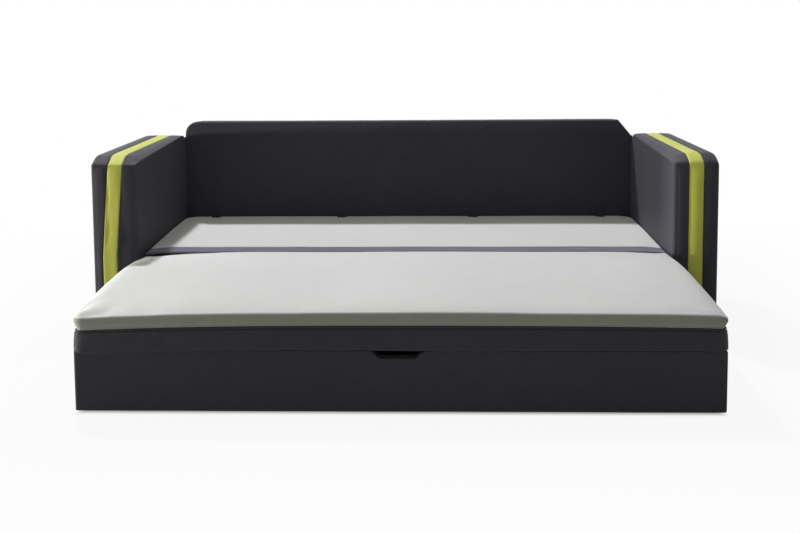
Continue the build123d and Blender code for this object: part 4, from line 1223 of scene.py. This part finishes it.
@dataclass
class Back(Assembly):
    """The upholstered back panel: rounded at one top corner and cut straight at the other.

    The uppermost fall_height of it falls by up to fall towards its rear.
    """

    foot_corner: float = 0.014
    round_corner: float = 0.053
    cut: Span = (0.054, 0.065)
    cut_radii: Span = (0.004, 0.003)
    edge: float = 0.007
    rear_edge: float = 0.014
    edge_seam: float = 0.016
    edge_groove: Span = (0.003, 0.0012)
    fall: float = 0.012
    fall_height: float = 0.2
    flat_depth: Span = (0.05, 0.08)
    stitch_seam: float = 0.021
    stitch_out: float = 0.0006

    def build(self) -> None:
        """Make the panel, and a row of stitches inside its front and its rear seam."""
        room = Room.of("back_cover")
        self.half = room.x[1]
        (self.front, self.rear), (bottom, self.top) = room.y, room.z
        (cut_x, cut_z), (lower, upper) = self.cut, self.cut_radii
        corners = (
            Corner(-self.half, bottom, self.foot_corner),
            Corner(self.half, bottom, self.foot_corner),
            Corner(self.half, self.top - cut_z, lower),
            Corner(self.half - cut_x, self.top, upper),
            Corner(-self.half, self.top, self.round_corner),
        )
        far_seam = self.rear - self.front - self.edge_seam
        slab = Slab(
            Outline(corners, (0, 1, 2, 4), across=96, along=26), self.front, self.rear,
            round_low=self.edge, round_high=self.rear_edge, swell=0.0012, crown_high=0.003,
            fade=0.09, rows=10,
            grooves=tuple(Groove(seam, *self.edge_groove) for seam in (self.edge_seam, far_seam)),
        )
        piece = slab.surface(self._warp).build("back_upholstery", [self.charcoal])
        Filling(cap=0.002, slack=0.002).swell(piece, self._hold)
        self.settle(piece, "back_cover", fill=0.9)
        rows = {
            "back_stitches_front": self.front + self.stitch_seam,
            "back_stitches_rear": self.rear - self.stitch_seam,
        }
        self.sew(slab, self._warp, self.stitch_out, rows)

    def _warp(self, points: Array) -> Array:
        """Slab coordinates to the room: Y is the height. The top falls a little to the rear."""
        x, z, y = points[..., 0], points[..., 1], points[..., 2]
        high = rise(z, self.top - self.fall_height, self.top)
        fall = self.fall * rise(y, self.front + self.edge, self.rear) * high
        return np.stack([x, y, z - fall], axis=-1)

    def _hold(self, rest: Array) -> Array:
        """The front stays flat, where the cushion stands against it."""
        start, end = self.flat_depth
        behind = rise(rest[:, 1], self.front + start, self.front + end)
        return (behind * rise(self.half - np.abs(rest[:, 0]), 0, self.near))[:, None]


@dataclass
class FrontBed(Assembly):
    """The drawer's two pads: the dark one and the light mattress on it, with its piping.

    Both hang at their front ends, most at the viewer's left, as worn foam does. A pair called
    sags or drops is for the viewer's left and right end, and its bend is the power of the share
    of the half width that it grows with. The mattress's bottom is tucked in by end_tuck beyond
    end_start, and its right front shoulder is round over shoulder_size across and along. The dark
    pad's lower seam droops between the places of droop_ends, and has a small tuck at each of tucks.
    """

    sags: Span = (0.016, 0.008)
    sag_bend: float = 2.6
    sag_depth: float = 0.45
    drops: Span = (0.020, 0.009)
    drop_bend: int = 5
    drop_depth: float = 0.3
    crown: float = 0.004
    arch: float = 0.003
    wave: Ripple = Ripple(0.0008, 9.0, 0.6)
    end_tuck: float = 0.013
    end_start: float = 0.86
    shoulder: float = 0.016
    shoulder_size: Span = (0.045, 0.5)
    border: float = 0.008
    piping: float = 0.0021
    piping_place: Span = (-0.0012, 0.003)
    narrower: float = 0.003
    set_back: float = 0.005
    droop: float = 0.010
    droop_ends: Span = (0.52, 0.82)
    droop_height: float = 0.3
    droop_wave: Ripple = Ripple(0.001, 7)
    tuck: float = 0.0022
    tuck_width: float = 0.02
    tucks: tuple[float, ...] = (-0.521, -0.314, -0.110)

    def build(self) -> None:
        """Make both pads."""
        self.pad, self.mattress = Room.of("deck_pad"), Room.of("front_mattress")
        self.front, self.rear = self.mattress.y
        self.half = self.mattress.x[1]
        self._mattress()
        self._deck_pad()

    def _mattress(self) -> None:
        """The light mattress: a top, and a border and piping along its bottom of the same knit, given
        in a darker, olive copy that is painted shade.
        """
        low, high = self.mattress.z
        slab = Slab(
            Outline.box((-self.half, self.half), (self.front, self.rear), (0.030, 0.012), 110, 44),
            low, high - self.crown,
            round_low=0.006, round_high=0.006, swell=0.003, crown_high=self.crown, fade=0.10,
            rows=6, grooves=(Groove(0.0075, width=0.003, depth=0.0015),),
        )
        top = self.finishes.make(self.finishes.bed_knit)
        # The border cloth is the knit's darker copy: painted shade on the band and on the piping.
        border = self.finishes.make(self.finishes.bed_border)
        surface = slab.surface(self._mattress_warp, lambda flat, up: up < high - self.border)
        piece = surface.build("mattress_front", [top, border])
        Filling(cap=0.004, slack=0.003).swell(piece, self._hold)
        self.settle(piece, "front_mattress", slot=BED_SLOT, fill=0.85)
        out, up = self.piping_place
        path = self._mattress_warp(slab.line(out, low + up))
        piece = Piping(self.piping).make("mattress_front_piping", path, border, True)
        self.settle(piece, slot=BED_SLOT)

    def _deck_pad(self) -> None:
        """The dark pad: set back under the mattress, widest along its lower edge."""
        low, high = self.pad.z
        half, front = self.pad.x[1] - self.narrower, self.front + self.set_back
        slab = Slab(
            Outline.box((-half, half), (front, self.rear), (0.024, 0.024), 110, 36),
            low, high - 0.0004,
            round_low=0.004, round_high=0.007, swell=0.001, lean=0.0045, fade=0.10, rows=10,
            grooves=(Groove(high - low - 0.0085, width=0.007, depth=0.004),),
        )
        piece = slab.surface(self._deck_warp).build("deck_pad_cover", [self.charcoal])
        Filling(cap=0.003, slack=0.003).swell(piece, self._deck_hold)
        self.settle(piece, "deck_pad", fill=0.85)

    def _sag(self, x: Array, y: Array) -> Array:
        """How far the mattress's bottom hangs.

        Args:
            x: Places across.
            y: Places along.

        Returns:
            Each end's sag times the share of the half width to the power sag_bend, fading to
            nothing sag_depth behind the front edge.
        """
        size = np.where(x < 0, *self.sags) * (np.abs(x) / self.half) ** self.sag_bend
        return size * (1 - rise(y, self.front, self.front + self.sag_depth)) ** 1.5

    def _mattress_warp(self, points: Array) -> Array:
        """The mattress hangs at its ends, in front and at the strip, and arches over its depth."""
        x, y, z = points[..., 0], points[..., 1], points[..., 2]
        up = rise(z, *self.mattress.z)
        arch = self.arch * np.sin(np.pi * rise(y, self.front, self.rear))
        tucked = self.end_tuck * (1 - up) ** 1.3 * rise(np.abs(x), self.end_start, self.half) ** 2
        wide, deep = self.shoulder_size
        shoulder = self.shoulder * rise(x, self.half - wide, self.half) ** 2
        shoulder = shoulder * (1 - rise(y, self.front, self.front + deep))
        drop = np.where(x < 0, *self.drops) * (np.abs(x) / self.half) ** self.drop_bend
        drop = drop * rise(y, self.rear - self.drop_depth, self.rear) ** 2
        height = z - self._sag(x, y) + (arch + self.wave.at(x) - shoulder - drop) * up
        return np.stack([x - np.sign(x) * tucked, y, height], axis=-1)

    def _deck_warp(self, points: Array) -> Array:
        """The dark pad follows the mattress above; its lower seam droops and has small tucks."""
        x, y, z = points[..., 0], points[..., 1], points[..., 2]
        up = rise(z, *self.pad.z)
        low = np.exp(-((up / self.droop_height) ** 2))
        low = low * (1 - rise(y, self.front, self.front + 0.03))
        droop = self.droop * rise(-x, *self.droop_ends) ** 1.2 + self.droop_wave.at(x)
        for place in self.tucks:
            droop = droop - self.tuck * np.exp(-((np.abs(x - place) / self.tuck_width) ** 1.5))
        return np.stack([x, y, z - self._sag(x, y) * up - droop * low], axis=-1)

    def _hold(self, rest: Array) -> Array:
        """The mattress's top and front swell; its bottom and sides stay where they lie."""
        low = self.mattress.z[0]
        up = rise(rest[:, 2], low + self.border, low + self.near)
        side = up * rise(self.half - np.abs(rest[:, 0]), 0, self.near)
        rear = up * rise(self.rear - rest[:, 1], 0, self.near)
        return np.column_stack([side, rear, up])

    def _deck_hold(self, rest: Array) -> Array:
        """Only the dark pad's front swells: it is pressed from above and held at its sides."""
        low, high = self.pad.z
        free = rise(rest[:, 2], low + 0.012, low + 0.022) * rise(high - self.near - rest[:, 2], 0, 0.01)
        free = free * (1 - rise(rest[:, 1], self.front, self.front + 0.06))
        return free[:, None] * (0, 1, 0)


@dataclass
class RearBed(Assembly):
    """The hinged cushion: its light top, dark underside and the dark strip along its front.

    The light top's front ends drop by end_drop beyond end_start, and the strip's by flap_drop
    beyond flap_start.
    """

    front_corner: float = 0.012
    rear_corner: float = 0.060
    hinges: tuple[float, ...] = (-0.82, -0.28, 0.28, 0.82)
    notch: Span = (0.036, 0.024)
    notch_corner: float = 0.006
    end_start: float = 0.86
    end_drop: float = 0.009
    end_depth: float = 0.3
    wave: Ripple = Ripple(0.0004, 11.0, 1.3)
    flap_gap: Span = (0.001, 0.0006)
    flap_start: float = 0.84
    flap_drop: float = 0.007
    flap_low: float = 0.001
    flap_waves: tuple[Ripple, Ripple] = (Ripple(0.0008, 13.0), Ripple(0.0006, 29.0, 1.0))
    flap_wave_shares: Span = (0.3, 0.6)

    def build(self) -> None:
        """Make the cushion's soft parts."""
        self.top, self.under = Room.of("rear_mattress"), Room.of("cushion_underside")
        self.strip = Room.of("strip_flap")
        self.front, self.rear = self.under.y
        self.half = self.top.x[1]
        self._light_side()
        self._dark_side()
        self._flap()

    def _light_side(self) -> None:
        """The light top, notched round the hinges."""
        low, high = self.top.z
        corners = self._notched_plan()
        slab = Slab(
            Outline(corners, (0, 1, 2, len(corners) - 1), across=120, along=34, bend_share=0.02),
            low, high - 0.0025,
            round_low=0.004, round_high=0.005, swell=0.001, crown_high=0.0015, rows=4,
            grooves=(Groove(0.0055, width=0.0026, depth=0.0012),),
        )
        knit = self.finishes.make(self.finishes.bed_knit)
        piece = slab.surface(self._warp).build("mattress_rear", [knit])
        Filling(cap=0.001, slack=0.002).swell(piece, self._hold)
        self.settle(piece, "rear_mattress", slot=BED_SLOT, fill=0.8)

    def _dark_side(self) -> None:
        """The dark underside, which is the backrest once the cushion stands."""
        radii = (self.front_corner, self.rear_corner)
        slab = Slab(
            Outline.box((-self.half, self.half), self.under.y, radii, 110, 34), *self.under.z,
            round_low=0.005, round_high=0.003, swell=0.001, rows=3,
        )
        piece = slab.surface(lambda points: points).build("cushion_dark_side", [self.charcoal])
        finer(piece)
        self.settle(piece, "cushion_underside", fill=0.8)

    def _flap(self) -> None:
        """The dark strip: a soft flap whose edges wave slightly and whose ends turn down."""
        side_gap, rear_gap = self.flap_gap
        half, along = self.strip.x[1] - side_gap, (self.strip.y[0], self.front - rear_gap)
        slab = Slab(
            Outline.box((-half, half), along, (0.008, 0.008), 130, 8, 0.02), *self.strip.z,
            round_low=0.003, round_high=0.003, crown_high=0.0008, fade=0.02, rows=2,
        )
        # Its cloth is the charcoal painted lighter: painted light on the strip's top.
        cloth = self.finishes.make(self.finishes.strip)
        piece = slab.surface(self._strip_warp).build("strip_flap_cover", [cloth])
        finer(piece)
        self.settle(piece, "strip_flap", fill=0.4)

    def _notched_plan(self) -> tuple[Corner, ...]:
        """The light top's plan, with a notch for each hinge in its rear edge."""
        half, inside = self.notch[0] / 2, self.rear - self.notch[1]
        notches = [
            Corner(x + side * half, along, self.notch_corner)
            for x in reversed(self.hinges)
            for side, along in ((1, self.rear), (1, inside), (-1, inside), (-1, self.rear))
        ]
        return (
            Corner(-self.half, self.front, self.front_corner),
            Corner(self.half, self.front, self.front_corner),
            Corner(self.half, self.rear, self.rear_corner),
            *notches,
            Corner(-self.half, self.rear, self.rear_corner),
        )

    def _warp(self, points: Array) -> Array:
        """Ends drop a little beside the arms, most at the strip."""
        x, y, z = points[..., 0], points[..., 1], points[..., 2]
        end = rise(np.abs(x), self.end_start, self.half) ** 2
        end = end * (1 - rise(y, self.front, self.front + self.end_depth))
        drop = (self.end_drop * end - self.wave.at(x)) * rise(z, *self.top.z)
        return np.stack([x, y, z - drop], axis=-1)

    def _strip_warp(self, points: Array) -> Array:
        """The strip's ends turn down towards the arms, and its edges wave by under 1 mm."""
        x, y, z = points[..., 0], points[..., 1], points[..., 2]
        end = rise(np.abs(x), self.flap_start, self.half) ** 2
        wave = self.flap_waves[0].at(x) + self.flap_waves[1].at(x)
        along, up = self.flap_wave_shares
        height = z - self.flap_drop * end + up * wave - self.flap_low
        return np.stack([x, y + along * wave, height], axis=-1)

    def _hold(self, rest: Array) -> Array:
        """Only the cushion's top swells, and less near its rear and its ends."""
        low = self.top.z[0]
        free = rise(rest[:, 2], low + 0.010, low + 0.018)
        free = free * rise(self.half - np.abs(rest[:, 0]), 0, 0.03)
        free = free * rise(self.rear - rest[:, 1], 0.03, 0.06)
        return free[:, None] * (0, 0, 1)


@dataclass
class DrawerFace(Assembly):
    """The drawer's padded front with its finger pull, and its two padded sides."""

    corner: float = 0.005
    pull_top: float = 0.160
    pull_bottom: float = 0.107
    pull_height: float = 0.024
    pull_corner: float = 0.006
    wrap: float = 0.0003
    waves: tuple[Ripple, Ripple] = (Ripple(0.0005, 5.0, climb=9.0), Ripple(0.0003, 17.0, climb=-21.0))
    wave_borders: Span = (0.05, 0.04)
    side_corner: float = 0.004
    side_gap: float = 0.001

    def build(self) -> None:
        """Make the front, whose cloth wraps its board, and both sides."""
        room = Room.of("drawer_front_padding")
        self.half, self.bottom, self.top = room.x[1], room.z[0] - self.wrap, room.z[1] + self.wrap
        top, low = self.top, self.top - self.pull_height
        wide, narrow = self.pull_top / 2, self.pull_bottom / 2
        corners = (
            Corner(-self.half, self.bottom, self.corner),
            Corner(self.half, self.bottom, self.corner),
            Corner(self.half, top, self.corner),
            Corner(wide, top, self.pull_corner),
            Corner(narrow, low, self.pull_corner),
            Corner(-narrow, low, self.pull_corner),
            Corner(-wide, top, self.pull_corner),
            Corner(-self.half, top, self.corner),
        )
        slab = Slab(
            Outline(corners, (0, 1, 2, 7), across=150, along=16, bend_share=0.02),
            room.y[0], room.y[1] - self.wrap,
            round_low=0.005, round_high=0.001, crown_low=0.0008, fade=0.03, rows=3,
        )
        piece = slab.surface(self._front_warp).build("drawer_front_cover", [self.charcoal])
        finer(piece)
        self.settle(piece, "drawer_front_padding", fill=0.9)
        for side in Side:
            self._side(side)

    def _front_warp(self, points: Array) -> Array:
        """Slab coordinates to the room, with the faint waves of cloth pulled over a board."""
        x, z, y = points[..., 0], points[..., 1], points[..., 2]
        wave = self.waves[0].at(x, z) + self.waves[1].at(x, z)
        beside, above = self.wave_borders
        inside = rise(self.half - np.abs(x), 0, beside) * rise(self.top - z, 0, above)
        return np.stack([x, y + wave * inside, z], axis=-1)

    def _side(self, side: Side) -> None:
        """One side's padding: across is Y, along is Z."""
        node = f"drawer_side_padding_{side.word}"
        room = Room.of(node)
        inner, outer = sorted(abs(x) for x in room.x)
        slab = Slab(
            Outline.box(room.y, room.z, (self.side_corner, self.side_corner), 50, 14, 0.02),
            inner, outer - self.side_gap,
            round_low=0.001, round_high=0.0035, crown_high=0.001, fade=0.03, rows=2,
        )
        turned = np.array([side.value, 1, 1])
        surface = slab.surface(lambda points: points[..., [2, 0, 1]] * turned)
        piece = surface.build(f"drawer_side_cover_{side.word}", [self.charcoal])
        finer(piece)
        self.settle(piece, node, fill=0.9)


@dataclass
class Carcass:
    """The rigid nodes of the frame, which keep their shape and get their finish here."""

    finishes: Finishes

    def dress(self) -> None:
        """Give every rigid node its material, with the timber's grain along its length."""
        for row in frame["record"]["subparts"]:
            finish = getattr(self.finishes, row["material_slot"], None)
            if finish is None:
                continue
            if row["node"].startswith("back_feet"):
                finish = self.finishes.upright_timber
            elif row["node"].startswith(("drawer_side_board", "drawer_bearer")):
                finish = self.finishes.deep_timber
            node = frame["nodes"][row["node"]]
            node.data.materials.clear()
            node.data.materials.append(self.finishes.make(finish))
            log.info("%s: %s", node.name, finish.name)


# Studio and viewpoint


@dataclass(frozen=True)
class Lamp:
    """A rectangular lamp: where it hangs, what it shines at, its size and its power in watts."""

    name: str
    place: Place
    target: Place
    size: Span
    power: float
    colour: Colour = WHITE

    def hang(self) -> None:
        """Put the lamp into the scene, out of the camera's sight."""
        data = bpy.data.lights.new(self.name, "AREA")
        data.shape, data.energy, data.color = "RECTANGLE", self.power, self.colour
        data.size, data.size_y = self.size
        lamp = bpy.data.objects.new(self.name, data)
        lamp.location = self.place
        way = Vector(self.target) - Vector(self.place)
        lamp.rotation_euler = way.to_track_quat("-Z", "Y").to_euler()
        lamp.visible_camera = False
        bpy.context.scene.collection.objects.link(lamp)


@dataclass
class Studio:
    """A pale floor, a white surround and four lamps.

    The key is high behind, a wide lamp hangs above, a low one shines from the viewer's left onto
    the right arm's inner face, and a weak fill is in front. The floor turns white over the span
    foot beside the object, and from near_white to full white over the span fade.
    """

    lamps: tuple[Lamp, ...] = (
        Lamp("key", (-3.2, 4.5, 9.0), (0.0, -0.1, 0.3), (0.8, 0.8), 880.0, (0.92, 0.932, 1.0)),
        Lamp("over", (-0.4, 0.0, 4.2), (-0.1, -0.1, 0.2), (3.0, 2.4), 26.0),
        Lamp("side", (-9.0, -0.5, 0.5), (0.95, -0.1, 0.5), (1.0, 0.35), 1000.0),
        Lamp("fill", (-1.0, -4.6, 1.9), (0.0, 0.0, 0.3), (2.6, 1.8), 20.0),
    )
    world_grey: float = 0.08
    floor_size: float = 30.0
    floor_diffuse: float = 0.6
    foot: Span = (-0.04, 0.01)
    fade: Span = (0.0, 1.2)
    near_white: float = 0.92

    def build(self) -> None:
        """Make the floor, the surround and the lamps."""
        self._floor()
        self._world()
        for lamp in self.lamps:
            lamp.hang()

    def _seen(self, paint: Paint) -> Socket:
        """1 where the camera, a reflection or a clear piece looks at the surround."""
        path = paint.node("ShaderNodeLightPath")
        camera, glossy, clear = (
            paint.output(path, f"Is {ray} Ray") for ray in ("Camera", "Glossy", "Transmission")
        )
        return camera.math("MAXIMUM", glossy).math("MAXIMUM", clear)

    def _floor(self) -> None:
        """A pale floor that keeps the shadow and fades into the white surround.

        Under the sofa and the drawer it is lit by the lamps alone. Beside them most of what the
        camera sees is plain white, and all of it is from the end of the fade on.
        """
        half = self.floor_size / 2
        x, y = np.meshgrid(np.linspace(-half, half, 9), np.linspace(-half, half, 9))
        flat = Surface()
        flat.grid(np.dstack([x, y, np.zeros_like(x)]), np.dstack([x, y]))
        paint = Paint("studio_floor")
        across, along, _ = paint.axes(paint.place(Coordinates.SPACE))
        beside_arm, beside_drawer = (
            (across.math("ABSOLUTE") - room.x[1]).math("MAXIMUM", room.y[0] - along)
            for room in (Room.of("arm_cover_right"), Room.of("drawer_front_padding"))
        )
        beside = beside_arm.math("MINIMUM", beside_drawer).math("MAXIMUM", along - CAD_BOX[1][1])
        white = self._seen(paint) * beside.ramp(*self.foot)
        white = white * beside.ramp(*self.fade, self.near_white, 1.0)
        diffuse = paint.node("ShaderNodeBsdfDiffuse", Color=(self.floor_diffuse,) * 3)
        glow = paint.node("ShaderNodeEmission", Color=WHITE, Strength=1.0)
        floor = flat.build("studio_floor", [paint.finish(paint.mixed(white, diffuse, glow))])

    def _world(self) -> None:
        """White to the eye, grey to the cloth."""
        world = bpy.data.worlds.new("studio")
        bpy.context.scene.world = world
        world.use_nodes = True
        paint = Paint.of_world(world)
        grey, white = (
            paint.node("ShaderNodeBackground", Color=WHITE, Strength=strength)
            for strength in (self.world_grey, 1.0)
        )
        paint.finish(paint.mixed(self._seen(paint), grey, white), "ShaderNodeOutputWorld")


@dataclass
class Viewpoint:
    """The camera of the picture, fitted to the object's edges: angles are in degrees.

    Focal_share is the focal length over the picture's width, and shift how far the picture is
    moved down on it.
    """

    place: Place = (0.0895, -3.4886, 1.1245)
    down: float = 4.8471
    turn: float = 1.632
    roll: float = 0.4442
    focal_share: float = 971.5694 / 800
    shift: float = 0.20
    sensor: float = 36.0

    def build(self) -> None:
        """Set the camera: its axes are the level ones turned by roll about the line of sight."""
        tilt, yaw, roll = np.radians([self.down, self.turn, self.roll])
        level = np.array([np.cos(yaw), np.sin(yaw), 0.0])
        ahead = np.array([-np.cos(tilt) * np.sin(yaw), np.cos(tilt) * np.cos(yaw), -np.sin(tilt)])
        above = np.array([-np.sin(tilt) * np.sin(yaw), np.sin(tilt) * np.cos(yaw), np.cos(tilt)])
        right = np.cos(roll) * level - np.sin(roll) * above
        up = np.sin(roll) * level + np.cos(roll) * above
        data = bpy.data.cameras.new("camera")
        data.sensor_width = self.sensor
        data.lens = self.sensor * self.focal_share
        data.shift_y = -self.shift
        camera = bpy.data.objects.new("camera", data)
        turned = np.eye(4)
        turned[:3] = np.column_stack([right, up, -ahead, self.place])
        camera.matrix_world = Matrix(turned.tolist())
        bpy.context.scene.collection.objects.link(camera)
        bpy.context.scene.camera = camera


def main() -> None:
    """Build the studio, then every sub-assembly."""
    logging.basicConfig(level=logging.INFO, format="%(message)s")
    bpy.context.scene.view_settings.view_transform = "Standard"
    Viewpoint().build()
    Studio().build()
    finishes = Finishes()
    Arm(finishes, "sofa", Side.LEFT, edge=0.007, slant=0.0285, slant_start=0.008).build()
    Arm(finishes, "sofa", Side.RIGHT, slope_radii=(0.080, 0.028)).build()
    Back(finishes, "sofa").build()
    DrawerFace(finishes, "drawer").build()
    FrontBed(finishes, "drawer").build()
    RearBed(finishes, "rear_cushion").build()
    Carcass(finishes).dress()


if __name__ == "__main__":
    main()
